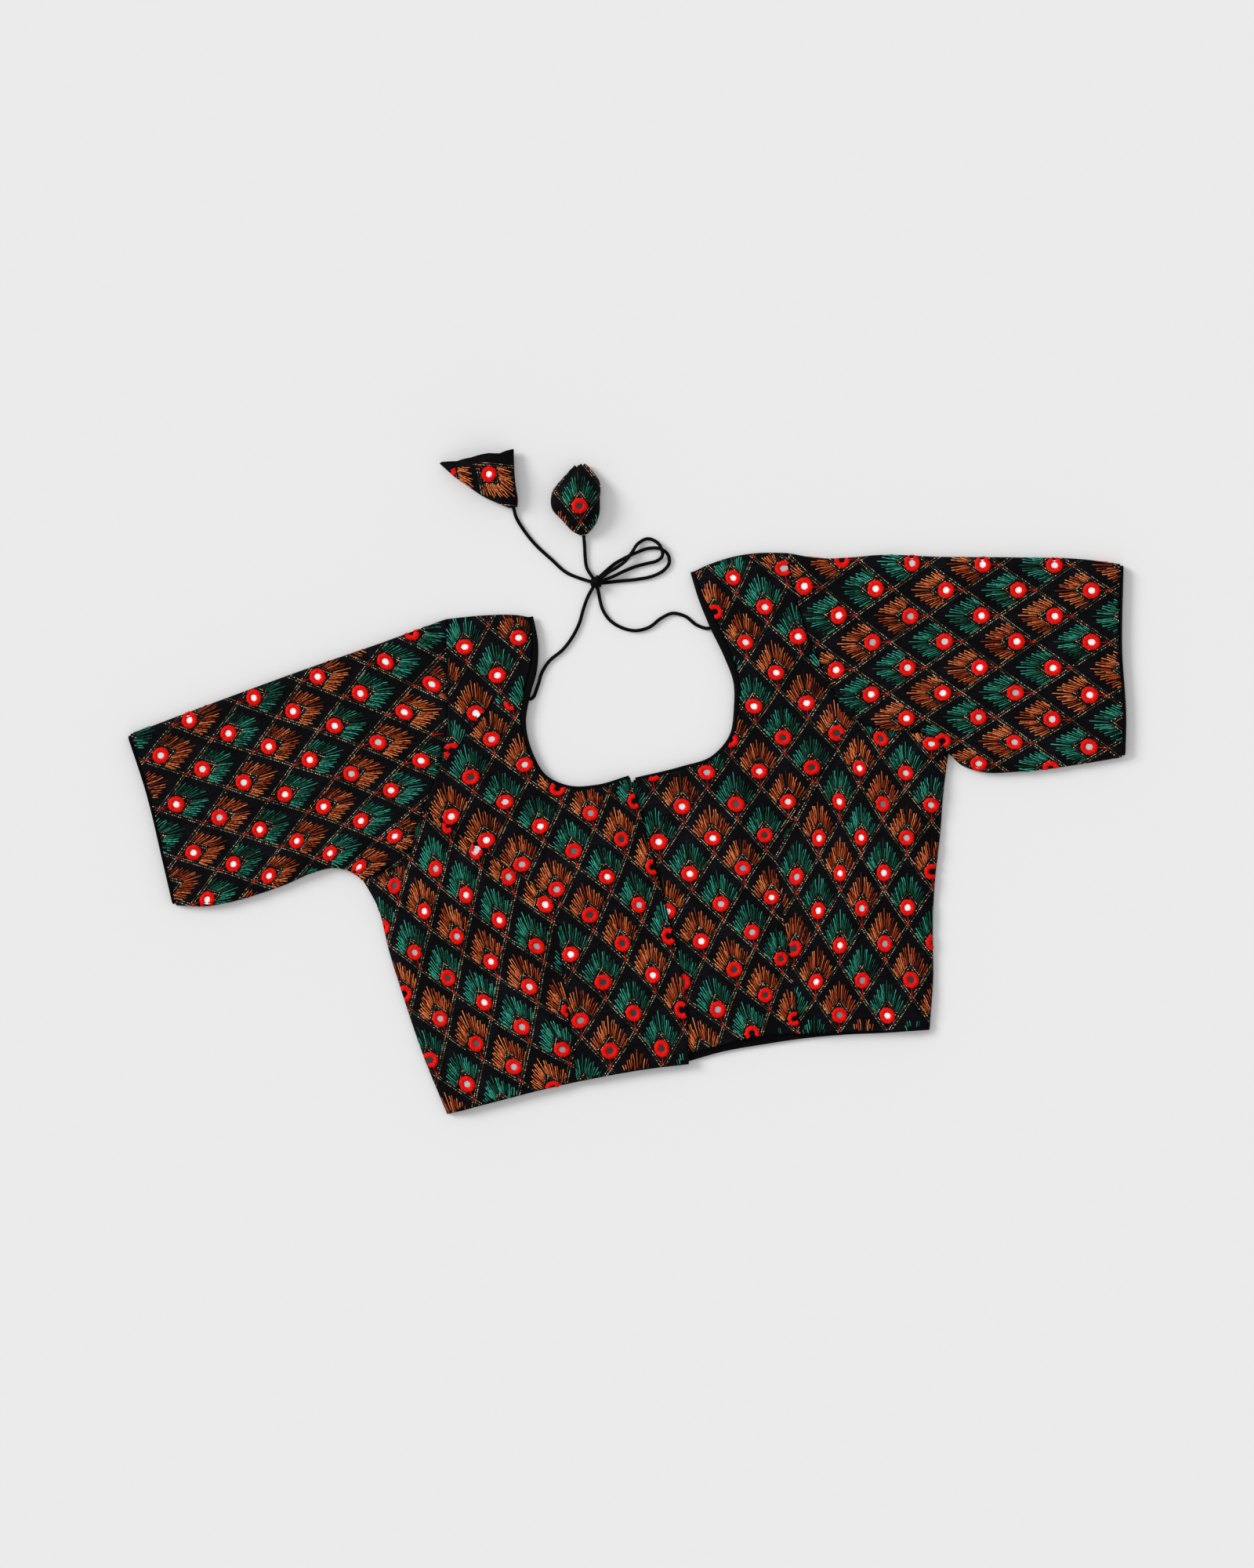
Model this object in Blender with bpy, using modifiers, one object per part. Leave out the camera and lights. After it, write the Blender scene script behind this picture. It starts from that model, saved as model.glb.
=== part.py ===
"""Choli blouse laid flat on a table, front side up, with its back ties knotted in a bow.

The blouse lies on z = 0 in its own frame: +X to the right as seen from above, +Y
towards the neck, +Z up, and the origin is under the middle of the cloth.
Left and right are as seen from above. Tables are in millimetres.
"""

import math
from collections import namedtuple

import bmesh
import bpy
import numpy as np
from mathutils.geometry import delaunay_2d_cdt

MM = 0.001

# Cloth and seams
WALL = 1.5  # embroidered silk with its lining
TRIM_WALL = 1.2  # black binding and facing
SEAM_GAP = 0.3
FRONT_BASE = WALL + SEAM_GAP  # underside of the front where it is sewn to the back
PUFF = 3.4  # air that holds the front off the back
EDGE_ROLL = 8.0  # width over which the front rolls down to a sewn edge
NECK_DIP = 1.0  # how much lower the free neck edge lies
NECK_DIP_WIDTH = 9.0
UNDERLAP_LIFT = 1.4  # the right front's part under the left one lies this far off the back
UNDERLAP_CLEAR = 4.0  # it rises to its own height from this far past the left front's edge
UNDERLAP_REACH = 30.0  # and is a front like the other from here on
LAP_START = -45.0  # the left front keeps its full height from here to its edge
BACK_NECK_INSET = 3.0  # the back's neck edge stays hidden behind the front's
BACK_HEM_INSET = 1.5

# Sleeves: flattened tubes
SLEEVE_HEIGHT = 6.8
ARMHOLE_GAP = 0.6
CUFF_BINDING = 2.0
CUFF_BINDING_RISE = 0.3  # the binding stays off the table
SLEEVE_ROWS = 11
EDGE_REACH = 8  # the higher, the nearer to its edge a sleeve's curved edge is felt
FOLD_STEPS = 4  # faces round each folded edge

# Mesh spacing of the fronts
GRID_STEP = 18.0
GUIDE_STEP = 12.0
OUTLINE_STEP = 11.0
NECK_STEP = 7.7
ROLL_RINGS = (2.5, 7.5)  # rows of points that carry the roll down to a sewn edge
DART = -2.0  # a fold at least this deep gets a row of points on each side too
FOLD_END = 0.55  # height of a fold at its ends, as a share of its middle's
SHARP = 50  # degrees between faces past which an edge looks sharp

# Ties
CORD = 2.6  # piped cord of black silk
CORD_STEP = 5.6
KNOT_CENTRE = (-12.4, 191.6, 3.9)
KNOT_HALF_SIZE = (5.5, 5.2, 3.7)
KNOT_GAP = 0.5
STRING_LEAD = 1.4 * CORD  # a string leaves its seam straight for this long
TAIL_END_HEIGHT = 2.9  # a tail's end meets its tassel at this height

# Edges of the blouse as it lies, each run through by a smooth curve
SIDE_LEFT = [(-199, -188), (-209, -140), (-215, -99), (-220, -58), (-223, -20), (-230, 0)]
SIDE_RIGHT = [(176, -192), (187, -149), (191, -125), (200, -84), (212, -44), (220, -14), (229, 14)]
ARMHOLE_LEFT = [
    (-230, 0), (-210, 4), (-193, 11), (-181, 35), (-167, 56),
    (-153, 81), (-143, 111), (-138, 139), (-134, 166), (-131, 185),
]  # fmt: skip
ARMHOLE_RIGHT = [
    (229, 14), (222, 27), (208, 34), (192, 38.5), (170, 47), (155, 61),
    (149, 84), (142, 109), (137, 139), (135, 165), (136, 187),
]  # fmt: skip
SHOULDER_LEFT = [(-131, 185), (-106, 183), (-85, 180), (-65, 175)]
SHOULDER_RIGHT = [(136, 187), (115, 191), (97, 192), (78, 190), (60, 186)]
NECK_LEFT = [
    (-65, 175), (-65, 154), (-69.5, 134), (-79, 114), (-85, 97),
    (-84, 71), (-77, 53), (-62, 42.5), (-40, 39), (-15, 41.5),
]  # fmt: skip
NECK_RIGHT = [
    (60, 186), (62, 167), (67, 142), (74, 116), (77, 97),
    (74, 79), (66, 57), (50, 44.5), (26, 41), (-10.5, 39),
]  # fmt: skip
CENTRE_FRONT = [(-15, 41.5), (-11, 12), (-8, -33), (-4, -80), (-3, -116), (-5, -150), (-10, -184)]
HEM_LEFT = [(-10, -184), (-40, -182), (-82, -181.5), (-119, -182.5), (-156, -185), (-199, -188)]
UNDERLAP_TOP = [(-13, 34), (-38, 35)]
UNDERLAP_EDGE = [(-38, 35), (-32, -40), (-29, -110), (-33, -178)]
HEM_RIGHT = [(-33, -178), (-5, -176), (18, -174), (52, -173), (87, -178), (140, -186), (176, -192)]
HEM_BACK = [
    (-10, -182), (17, -179.5), (48, -179.7), (79, -180.8), (110, -183.6), (140, -187.8), (176, -192),
]  # fmt: skip
FACING_END = 112.0  # the hem facing shows from the centre out to here
FACING_DEPTH = 12.0
FACING_WALL = 1.0

SLEEVE_TOP_LEFT = [(-131, 185), (-187, 175.5), (-237, 168), (-300, 157.5), (-387, 142)]
SLEEVE_LOW_LEFT = [
    (-230, 0), (-238, 8), (-250, 13), (-266, 12.5), (-288, 7.5),
    (-310, 4), (-329, 2), (-350, 2), (-376.5, 7.5),
]  # fmt: skip
CUFF_LEFT = [(-376.5, 7.5), (-378, 41), (-381, 97), (-387, 142)]
SLEEVE_TOP_RIGHT = [
    (136, 187), (158, 179), (182, 175), (203, 173), (250, 163), (309, 151.5), (356, 141.5), (387, 131.5),
]  # fmt: skip
SLEEVE_LOW_RIGHT = [(229, 14), (237, 3), (250, -4.5), (279, -10), (327, -13), (361.5, -13.5)]
CUFF_RIGHT = [(361.5, -13.5), (367.5, 15), (374, 67), (387, 131.5)]

# The black neck binding's width, from the shoulder seam to the centre front
BINDING_LEFT = [3.0, 5.5, 2.6, 1.6, 1.4]
BINDING_RIGHT = [3.0, 6.5, 3.4, 1.6, 1.4]
BINDING_FORM = [(0.0, 0.7), (0.35, 0.15), (1.0, 0.0)]  # share of the width, and how much lower it lies there

# Folds and sewn darts: start, end, half width, and height (a dart or crease is below 0)
Fold = namedtuple("Fold", "x0 y0 x1 y1 width height")
FOLDS_LEFT = [
    Fold(-172, 43, -89, -40, 7, -2.6),  # armhole dart
    Fold(-89, -40, -97, -182, 7, -2.4),  # waist dart
    Fold(-160, 22, -104, -38, 12, 3.2),  # fullness under the armhole dart
    Fold(-116, -70, -113, -165, 13, 2.2),
    Fold(-72, -40, -73, -150, 14, 2.6),
    Fold(-207, 10, -216, -24, 7, 3.4),  # underarm
    Fold(-187, 6, -177, -40, 9, 2.4),
    Fold(-78, 24, -22, 4, 9, 2.4),  # pull towards the first hook
    Fold(-60, -12, -22, -28, 10, 1.8),
]
FOLDS_RIGHT = [
    Fold(160, 51, 84, -35, 7, -2.6),
    Fold(84, -35, 78, -177, 7, -2.4),
    Fold(143, 46, 92, -14, 12, 3.2),
    Fold(60, -40, 58, -150, 14, 2.6),
    Fold(96, -66, 94, -158, 10, 2.0),
    Fold(152, -26, 116, -136, 9, 4.2),  # soft fold down the side
    Fold(206, 18, 208, -18, 7, 3.2),
    Fold(190, 20, 160, 30, 7, 2.4),
    Fold(24, 18, 62, 0, 10, 2.0),
]
FOLDS_SLEEVE_LEFT = [
    Fold(-196, 34, -300, 24, 9, 2.6),
    Fold(-178, 58, -232, 48, 8, -1.2),
    Fold(-214, 14, -246, 30, 7, 2.6),
    Fold(-160, 120, -214, 128, 13, 1.6),
    Fold(-292, 92, -372, 78, 16, 1.2),
]
FOLDS_SLEEVE_RIGHT = [
    Fold(168, 58, 232, 32, 8, 3.2),
    Fold(196, 44, 246, 18, 6, -1.6),
    Fold(222, 26, 242, 2, 6, 3.0),
    Fold(156, 132, 206, 140, 13, 1.6),
    Fold(282, 72, 362, 52, 16, 1.2),
]

# All that differs between the halves. turn is 1 where the cloth lies right of a neck edge
# drawn from the shoulder down, and the sleeve left of an armhole drawn up to the shoulder.
Half = namedtuple("Half", "name turn side armhole shoulder neck binding folds low top cuff sleeve_folds")
LEFT = Half(
    "left", 1, SIDE_LEFT, ARMHOLE_LEFT, SHOULDER_LEFT, NECK_LEFT, BINDING_LEFT, FOLDS_LEFT,
    SLEEVE_LOW_LEFT, SLEEVE_TOP_LEFT, CUFF_LEFT, FOLDS_SLEEVE_LEFT,
)  # fmt: skip
RIGHT = Half(
    "right", -1, SIDE_RIGHT, ARMHOLE_RIGHT, SHOULDER_RIGHT, NECK_RIGHT, BINDING_RIGHT, FOLDS_RIGHT,
    SLEEVE_LOW_RIGHT, SLEEVE_TOP_RIGHT, CUFF_RIGHT, FOLDS_SLEEVE_RIGHT,
)  # fmt: skip

# Cord routes, x, y and height of the centreline. Where a cord meets the knot its end is
# named by its direction from the knot's centre, in degrees from +X.
LOW = CORD / 2 + 0.1
CROSSING = LOW + CORD + 0.5  # over another cord
AT_KNOT = 2.6
STRING_LEFT_ROOT, STRING_RIGHT_ROOT = 117, 141  # where they are sewn under the back neck, y
STRING_LEFT = [
    (-70.8, 122.4, LOW), (-66.8, 130.2, LOW), (-59.8, 138.3, LOW), (-46.7, 146, LOW),
    (-38.3, 153.7, LOW), (-31, 163.3, LOW), (-26, 173.3, LOW), (-20.9, 182, LOW),
]  # fmt: skip
STRING_RIGHT = [
    (57.5, 145.3, LOW), (49.7, 153.8, LOW), (40.3, 157.8, LOW), (31.4, 155.6, LOW),
    (21.1, 150.5, LOW), (10.1, 149.9, LOW), (1.4, 153.4, LOW), (-7.6, 161.4, LOW),
    (-11.6, 171, LOW), (-12.2, 179, LOW),
]  # fmt: skip
TAIL_LEFT = [
    (-24.5, 197.2, LOW), (-33.1, 202.8, LOW), (-43.2, 215.4, LOW), (-53.8, 229.8, LOW),
    (-60.1, 241.8, LOW), (-64, 253, 1.8),
]  # fmt: skip
TAIL_UPPER = [(-17.6, 204, LOW), (-17.4, 212, LOW), (-16.2, 221, 1.8)]
LOOP_OUTER = [
    (-3.6, 199, LOW), (4.3, 203.3, LOW), (12.6, 206.2, LOW), (21.7, 208.5, LOW), (32.1, 210, LOW),
    (41, 207.8, LOW), (45.6, 202, LOW), (45.2, 196.2, LOW), (40.4, 191.6, LOW), (31.3, 188.6, LOW),
    (18.9, 188.3, LOW), (3, 189.6, LOW),
]  # fmt: skip
LOOP_INNER = [
    (-1.5, 197.6, CROSSING), (5.8, 200.2, CROSSING), (12.1, 203.4, CROSSING), (18.4, 209, CROSSING),
    (24.6, 215.2, 2.2), (32.5, 217.4, LOW), (38.4, 213.8, 2.6), (41.4, 207.6, CROSSING), (40.8, 202, 2.4),
    (36, 199.4, LOW), (29, 198.9, LOW), (20, 198.2, LOW), (10, 196.2, 2.6), (1.5, 193.8, CROSSING),
]  # fmt: skip

# Cloth tassels: folded cones with an open mouth. Each row is a section, with the
# distance up the cone, the edges left and right of its axis, and the height.
Section = namedtuple("Section", "along left right height")
TASSEL_WALL = 1.2
TASSEL_STEPS = 20
TASSEL_ROWS = 9
TASSEL_RIPPLES = 4
TASSEL_RIPPLE = 0.10  # depth of the folds at the mouth, as a share of the width
TASSEL_WAVE = 2.5  # how far the mouth's edge waves in and out
TASSEL_LEFT_ROOT = (-64.4, 259.6)
TASSEL_LEFT = [
    Section(0, -3, 3, 6),
    Section(5, -11, 4.4, 9),
    Section(12, -21, 4.5, 12),
    Section(21, -30, 4.6, 14.5),
    Section(31, -39, 5, 15),
    Section(43, -47, 5.4, 12),
]
TASSEL_RIGHT_ROOT = (-15.4, 229.4)
TASSEL_RIGHT = [
    Section(0, -3, 3, 6),
    Section(4, -8, 8.5, 9),
    Section(13, -13.8, 14.6, 13.5),
    Section(24, -20, 16.8, 16.5),
    Section(35, -17.5, 18.6, 16),
    Section(44, -8, 15.4, 13),
    Section(52, 3, 10.6, 9),
]

BLACK = (0.012, 0.012, 0.016, 1.0)
EMBROIDERED = (0.075, 0.055, 0.050, 1.0)


def smooth(points, step):
    """Points about step apart on a smooth curve through the given ones, 2D or 3D."""
    knots = np.array(points, float)
    chord = np.concatenate([[0], np.cumsum(np.linalg.norm(np.diff(knots, axis=0), axis=1))])
    slope = np.gradient(knots, chord, axis=0)
    fine = np.linspace(0, chord[-1], max(8, int(chord[-1] / step) * 6))
    cell = np.clip(np.searchsorted(chord, fine, side="right") - 1, 0, len(knots) - 2)
    span = (chord[cell + 1] - chord[cell])[:, None]
    t = (fine - chord[cell])[:, None] / span
    curve = (
        (2 * t**3 - 3 * t**2 + 1) * knots[cell]
        + (t**3 - 2 * t**2 + t) * span * slope[cell]
        + (3 * t**2 - 2 * t**3) * knots[cell + 1]
        + (t**3 - t**2) * span * slope[cell + 1]
    )
    return spaced(curve, step)


def spaced(line, step, count=None):
    """The same line with even spacing, by step or by number of points."""
    along = np.concatenate([[0], np.cumsum(np.linalg.norm(np.diff(line, axis=0), axis=1))])
    at = np.linspace(0, along[-1], count or max(2, round(along[-1] / step) + 1))
    return np.stack([np.interp(at, along, line[:, k]) for k in range(line.shape[1])], axis=1)


def offset(line, distance):
    """The line moved to its left by a distance, which may differ along it."""
    run = np.gradient(line, axis=0)
    run /= np.linalg.norm(run, axis=1)[:, None]
    return line + np.stack([-run[:, 1], run[:, 0]], axis=1) * np.reshape(distance, (-1, 1))


def away(points, line):
    """Distance of each point from a line."""
    best = np.full(len(points), np.inf)
    for a, b in zip(line[:-1], line[1:]):
        run = b - a
        t = np.clip((points - a) @ run / max(run @ run, 1e-9), 0, 1)
        best = np.minimum(best, np.linalg.norm(points - a - t[:, None] * run, axis=1))
    return best


def inside(points, outline):
    """Which points lie inside a closed outline."""
    hit = np.zeros(len(points), bool)
    x, y = points[:, 0], points[:, 1]
    for (x0, y0), (x1, y1) in zip(outline, np.roll(outline, -1, axis=0)):
        crosses = (y0 > y) != (y1 > y)
        edge_x = (x1 - x0) * (y - y0) / (y1 - y0 + 1e-12) + x0
        hit ^= crosses & (x < edge_x)
    return hit


def fold_height(points, folds):
    """Sum of the folds' heights at each point: round across and tapered at the ends."""
    total = np.zeros(len(points))
    for f in folds:
        start, run = np.array([f.x0, f.y0]), np.array([f.x1 - f.x0, f.y1 - f.y0])
        t = (points - start) @ run / (run @ run)
        across = np.linalg.norm(points - start - np.clip(t, 0, 1)[:, None] * run, axis=1)
        taper = FOLD_END + (1 - FOLD_END) * np.sin(np.pi * np.clip(t, 0, 1))
        total += f.height * np.exp(-((across / f.width) ** 2)) * taper
    return total


def front_height(points, sewn, neck, folds):
    """Height of a front's underside: rolled down at sewn edges, dipped at the neck, folded."""
    near = np.min([away(points, line) for line in sewn], axis=0)
    roll = np.sqrt(1 - (1 - np.clip(near / EDGE_ROLL, 0, 1)) ** 2)
    dip = NECK_DIP * np.exp(-((away(points, neck) / NECK_DIP_WIDTH) ** 2))
    return FRONT_BASE + roll * np.maximum(PUFF - dip + fold_height(points, folds), 0)


def new_object(name, mesh, colour, roughness=0.85):
    """Puts a mesh in the blouse's collection, with its own material."""
    obj = bpy.data.objects.new(name, mesh)
    blouse.objects.link(obj)
    material = bpy.data.materials.new(name)
    material.use_nodes = True
    shader = material.node_tree.nodes["Principled BSDF"]
    shader.inputs["Base Color"].default_value = colour
    shader.inputs["Roughness"].default_value = roughness
    mesh.materials.append(material)
    return obj


def finish_mesh(name, bm, colour, roughness=0.85):
    """Makes an object from a built mesh."""
    mesh = bpy.data.meshes.new(name)
    bm.to_mesh(mesh)
    bm.free()
    mesh.shade_smooth()
    mesh.set_sharp_from_angle(angle=math.radians(SHARP))
    return new_object(name, mesh, colour, roughness)


def lying_cloth(name, bm, colour, wall):
    """Gives an open surface that lies on another one a wall of cloth straight up."""
    bmesh.ops.recalc_face_normals(bm, faces=bm.faces)
    under = bm.faces[:]
    made = bmesh.ops.extrude_face_region(bm, geom=under, use_keep_orig=True)["geom"]
    top = [g for g in made if isinstance(g, bmesh.types.BMVert)]
    bmesh.ops.translate(bm, vec=(0, 0, wall * MM), verts=top)
    bmesh.ops.recalc_face_normals(bm, faces=bm.faces)
    finish_mesh(name, bm, colour)


def rolled_cloth(name, bm, colour, wall):
    """Gives an open tube of cloth a wall on its inner side."""
    bmesh.ops.recalc_face_normals(bm, faces=bm.faces)
    bm.normal_update()
    middle = np.mean([v.co.z for v in bm.verts])
    outward = sum(f.normal.z * f.calc_area() * (f.calc_center_median().z - middle) for f in bm.faces)
    if outward < 0:
        bmesh.ops.reverse_faces(bm, faces=bm.faces)
    shell = finish_mesh(name, bm, colour).modifiers.new("wall", "SOLIDIFY")
    shell.thickness = wall * MM
    shell.offset = -1


def net_points(outline, guides, sewn):
    """Points to fill an outline with: rows along sewn edges, lines along folds, and a grid."""
    low, high = outline.min(axis=0), outline.max(axis=0)
    columns, rows = (np.arange(low[k], high[k], GRID_STEP) for k in (0, 1))
    grid = np.stack(np.meshgrid(columns, rows), -1).reshape(-1, 2)
    clear = away(grid, outline) > 0.5 * GRID_STEP
    extra = []
    for inset in ROLL_RINGS:
        ring = offset(outline, inset)
        near = np.min([away(ring, line) for line in sewn], axis=0)
        extra.append(ring[(away(ring, outline) > 0.9 * inset) & (near < 1.1 * inset)])
        clear &= np.min([away(grid, line) for line in sewn], axis=0) > inset + 0.4 * GRID_STEP
    for line in guides:
        fresh = line[away(line, outline) > ROLL_RINGS[-1] + 2]
        nearest = np.linalg.norm(fresh[:, None] - np.concatenate(extra)[None], axis=2).min(axis=1)
        extra.append(fresh[nearest > 0.3 * GUIDE_STEP])
        clear &= away(grid, line) > 0.4 * GRID_STEP
    return np.concatenate([*extra, grid[clear]])


def fold_guides(folds):
    """A line along each fold, and one more on each side of a sewn dart."""
    lines = []
    for f in folds:
        crest = spaced(np.array([(f.x0, f.y0), (f.x1, f.y1)], float), GUIDE_STEP)
        lines += [offset(crest, side * f.width) for side in ((0, -1, 1) if f.height < DART else (0,))]
    return lines


def panel(name, outline, height, guides, sewn):
    """A cut piece of cloth: the outline filled with a fine net, each point at its height."""
    extra = net_points(outline, guides, sewn)
    points = np.concatenate([outline, extra[inside(extra, outline)]])
    loop = list(range(len(outline)))
    found = delaunay_2d_cdt([tuple(p) for p in points], [], [loop], 1, 0.001)
    flat = np.array([tuple(p) for p in found[0]])
    bm = bmesh.new()
    verts = [bm.verts.new((x * MM, y * MM, z * MM)) for (x, y), z in zip(flat, height(flat))]
    for face in found[2]:
        bm.faces.new([verts[i] for i in face])
    lying_cloth(name, bm, EMBROIDERED, WALL)


def loft(rows, closed, cap_first=False):
    """A surface through rows of points, each row a section of the cloth."""
    bm = bmesh.new()
    net = [[bm.verts.new(p * MM) for p in row] for row in rows]
    wide = len(net[0])
    for row, following in zip(net[:-1], net[1:]):
        for i in range(wide if closed else wide - 1):
            j = (i + 1) % wide
            bm.faces.new((row[i], row[j], following[j], following[i]))
    if cap_first:
        bm.faces.new(net[0][::-1])
    return bm


def patch(start, end, low, high, rows):
    """Plan points of a four-sided cloth: straight from start to end, curved near low and high."""
    columns = len(start)
    end, low, high = spaced(end, 0, columns), spaced(low, 0, rows), spaced(high, 0, rows)
    u = np.linspace(0, 1, columns)[None, :, None]
    v = np.linspace(0, 1, rows)[:, None, None]
    straight = (1 - v) * start[None] + v * end[None]
    to_low, to_high = low[:, None] - straight[:, :1], high[:, None] - straight[:, -1:]
    return straight + (1 - u) ** EDGE_REACH * to_low + u**EDGE_REACH * to_high


def tube(name, start, end, low, high, folds, rows, bottom, height, colour, wall):
    """A flattened tube of cloth between two open ends, such as a sleeve or its binding."""
    radius = height / 2
    turn = np.linspace(-math.pi / 2, math.pi / 2, FOLD_STEPS + 1)[1:-1]
    sections = []
    for line in patch(start, end, low, high, rows):
        along = np.concatenate([[0], np.cumsum(np.linalg.norm(np.diff(line, axis=0), axis=1))])
        flat, width = along[1:-1], along[-1]
        top = [(s, height) for s in flat]
        upper = [(width - radius + radius * math.cos(a), radius - radius * math.sin(a)) for a in turn]
        base = [(s, 0) for s in flat[::-1]]
        lower = [(radius - radius * math.cos(a), radius + radius * math.sin(a)) for a in turn]
        across, z = np.array(top + upper + base + lower).T
        xy = np.stack([np.interp(across, along, line[:, k]) for k in range(2)], axis=1)
        lift = fold_height(xy, folds) * (z == height)
        sections.append(np.column_stack([xy, bottom + z + lift]))
    rolled_cloth(name, loft(sections, closed=True), colour, wall)


def flat_plate(name, outline, bottom, thickness, colour):
    """A piece of cloth that lies flat: a filled outline with a thickness."""
    data = bpy.data.curves.new(name, "CURVE")
    data.dimensions = "2D"
    data.fill_mode = "BOTH"
    data.extrude = thickness * MM / 2
    spline = data.splines.new("POLY")
    spline.points.add(len(outline) - 1)
    for point, (x, y) in zip(spline.points, outline):
        point.co = (x * MM, y * MM, 0, 1)
    spline.use_cyclic_u = True
    new_object(name, data, colour).location.z = (bottom + thickness / 2) * MM


def cord(name, route):
    """A tie of round cord along a smooth route."""
    line = smooth(route, CORD_STEP)
    line[:, 2] = np.maximum(line[:, 2], LOW)
    data = bpy.data.curves.new(name, "CURVE")
    data.dimensions = "3D"
    data.bevel_depth = CORD * MM / 2
    data.bevel_resolution = 2
    data.use_fill_caps = True
    spline = data.splines.new("POLY")
    spline.points.add(len(line) - 1)
    for point, (x, y, z) in zip(spline.points, line):
        point.co = (x * MM, y * MM, z * MM, 1)
    new_object(name, data, BLACK, 0.6)


def knot_side(angle, z):
    """The end of a cord that leaves the knot in this direction, just clear of it."""
    a = math.radians(angle)
    rim = 1 / math.hypot(math.cos(a) / KNOT_HALF_SIZE[0], math.sin(a) / KNOT_HALF_SIZE[1])
    reach = rim + KNOT_GAP
    return (KNOT_CENTRE[0] + reach * math.cos(a), KNOT_CENTRE[1] + reach * math.sin(a), z)


def string_root(half, y):
    """The end of a string sewn to the back's neck edge at this y, and a point further out."""
    neck = back_neck(half)
    nearest = np.argmin(abs(neck[:, 1] - y))
    step = neck[nearest + 1] - neck[nearest - 1]
    out = np.array([-step[1], step[0]]) / np.linalg.norm(step) * half.turn
    return [(*(neck[nearest] + out * reach), LOW) for reach in (KNOT_GAP, STRING_LEAD)]


def knot():
    """The bow's knot, drawn up into one lump."""
    bm = bmesh.new()
    bmesh.ops.create_uvsphere(bm, u_segments=16, v_segments=10, radius=MM)
    bmesh.ops.scale(bm, vec=KNOT_HALF_SIZE, verts=bm.verts)
    finish_mesh("bow_knot", bm, BLACK, 0.6).location = [c * MM for c in KNOT_CENTRE]


def tassel_root(root):
    """The end of a tail, just short of the tassel that is sewn on it."""
    return (root[0], root[1] - KNOT_GAP, TAIL_END_HEIGHT)


def tassel(name, root, sections):
    """A cloth cone that lies on its side, gathered round the cord and rippled at its mouth."""
    table = np.array(sections, float)
    fine = spaced(table, 0, TASSEL_ROWS)
    longest = fine[-1, 0]
    turn = np.linspace(0, 2 * math.pi, TASSEL_STEPS, endpoint=False)
    rows = []
    for along, left, right, height in fine:
        middle, half = (left + right) / 2, (right - left) / 2
        ripple = 1 + TASSEL_RIPPLE * (along / longest) ** 2 * np.cos(TASSEL_RIPPLES * turn)
        x = root[0] + middle + half * np.cos(turn) * ripple
        y = root[1] + along + TASSEL_WAVE * (along / longest) ** 2 * np.cos(TASSEL_RIPPLES * turn + 1)
        z = np.maximum(height / 2 * (1 + np.sin(turn) * ripple), 0)
        rows.append(np.column_stack([x, y, z]))
    rolled_cloth(name, loft(rows, closed=True, cap_first=True), EMBROIDERED, TASSEL_WALL)


def outline_of(*edges):
    """Edges joined end to end into one closed outline, counter-clockwise, in even steps."""
    joined = np.concatenate([edge[:-1] for edge in edges])
    x, y = joined.T
    area = (x * np.roll(y, -1) - y * np.roll(x, -1)).sum()
    return joined if area > 0 else joined[::-1]


def edge(points):
    """One edge of the cut, in even steps."""
    return smooth(points, OUTLINE_STEP)


def bound_neck(half):
    """The neck's edge, and the width of its binding at each point."""
    outer = smooth(half.neck, NECK_STEP)
    width = np.interp(np.linspace(0, 1, len(outer)), np.linspace(0, 1, len(half.binding)), half.binding)
    return outer, width


def cloth_height(points, half):
    """Height of a front's underside at each point, with the lap of the left one on the right."""
    z = front_height(points, (edge(half.side), edge(half.shoulder)), bound_neck(half)[0], half.folds)
    if half is LEFT:
        return np.where(points[:, 0] > LAP_START, np.maximum(z, FRONT_BASE + PUFF), z)
    centre = edge(CENTRE_FRONT)
    beyond = points[:, 0] - np.interp(-points[:, 1], -centre[:, 1], centre[:, 0])
    rise = np.clip((beyond - UNDERLAP_CLEAR) / EDGE_ROLL, 0, 1)
    rise = rise * rise * (3 - 2 * rise)
    under = FRONT_BASE + UNDERLAP_LIFT
    return np.where(beyond < UNDERLAP_REACH, under + (np.maximum(z, under) - under) * rise, z)


def build_neck_binding(half):
    """A folded black strip along the neck, level with the cloth that it finishes."""
    outer, width = bound_neck(half)
    rows = []
    for share, drop in BINDING_FORM:
        xy = offset(outer, -half.turn * share * width)
        rows.append(np.column_stack([xy, np.maximum(cloth_height(xy, half) - drop, FRONT_BASE)]))
    lying_cloth(f"neck_binding_{half.name}", loft(rows, closed=False), BLACK, TRIM_WALL)


def build_front(half):
    """One front. The left one ends at the centre, and the right one runs on under it."""
    side, armhole, shoulder = edge(half.side), edge(half.armhole), edge(half.shoulder)
    outer, width = bound_neck(half)
    neck = offset(outer, -half.turn * (width + SEAM_GAP))
    centre = edge(CENTRE_FRONT)
    guides = fold_guides(half.folds)
    if half is LEFT:
        inner = [centre[1:], edge(HEM_LEFT)]
    else:
        inner = [np.array(UNDERLAP_TOP), edge(UNDERLAP_EDGE), edge(HEM_RIGHT)]
        guides = [offset(centre, UNDERLAP_CLEAR), offset(centre, UNDERLAP_CLEAR + EDGE_ROLL), *guides]
    outline = outline_of(side, armhole, shoulder, neck, *inner)
    panel(f"front_{half.name}", outline, lambda points: cloth_height(points, half), guides, (side, shoulder))


def back_neck(half):
    """The back's neck edge, from the shoulder down to the centre."""
    return offset(edge(half.neck), -half.turn * BACK_NECK_INSET)


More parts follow.
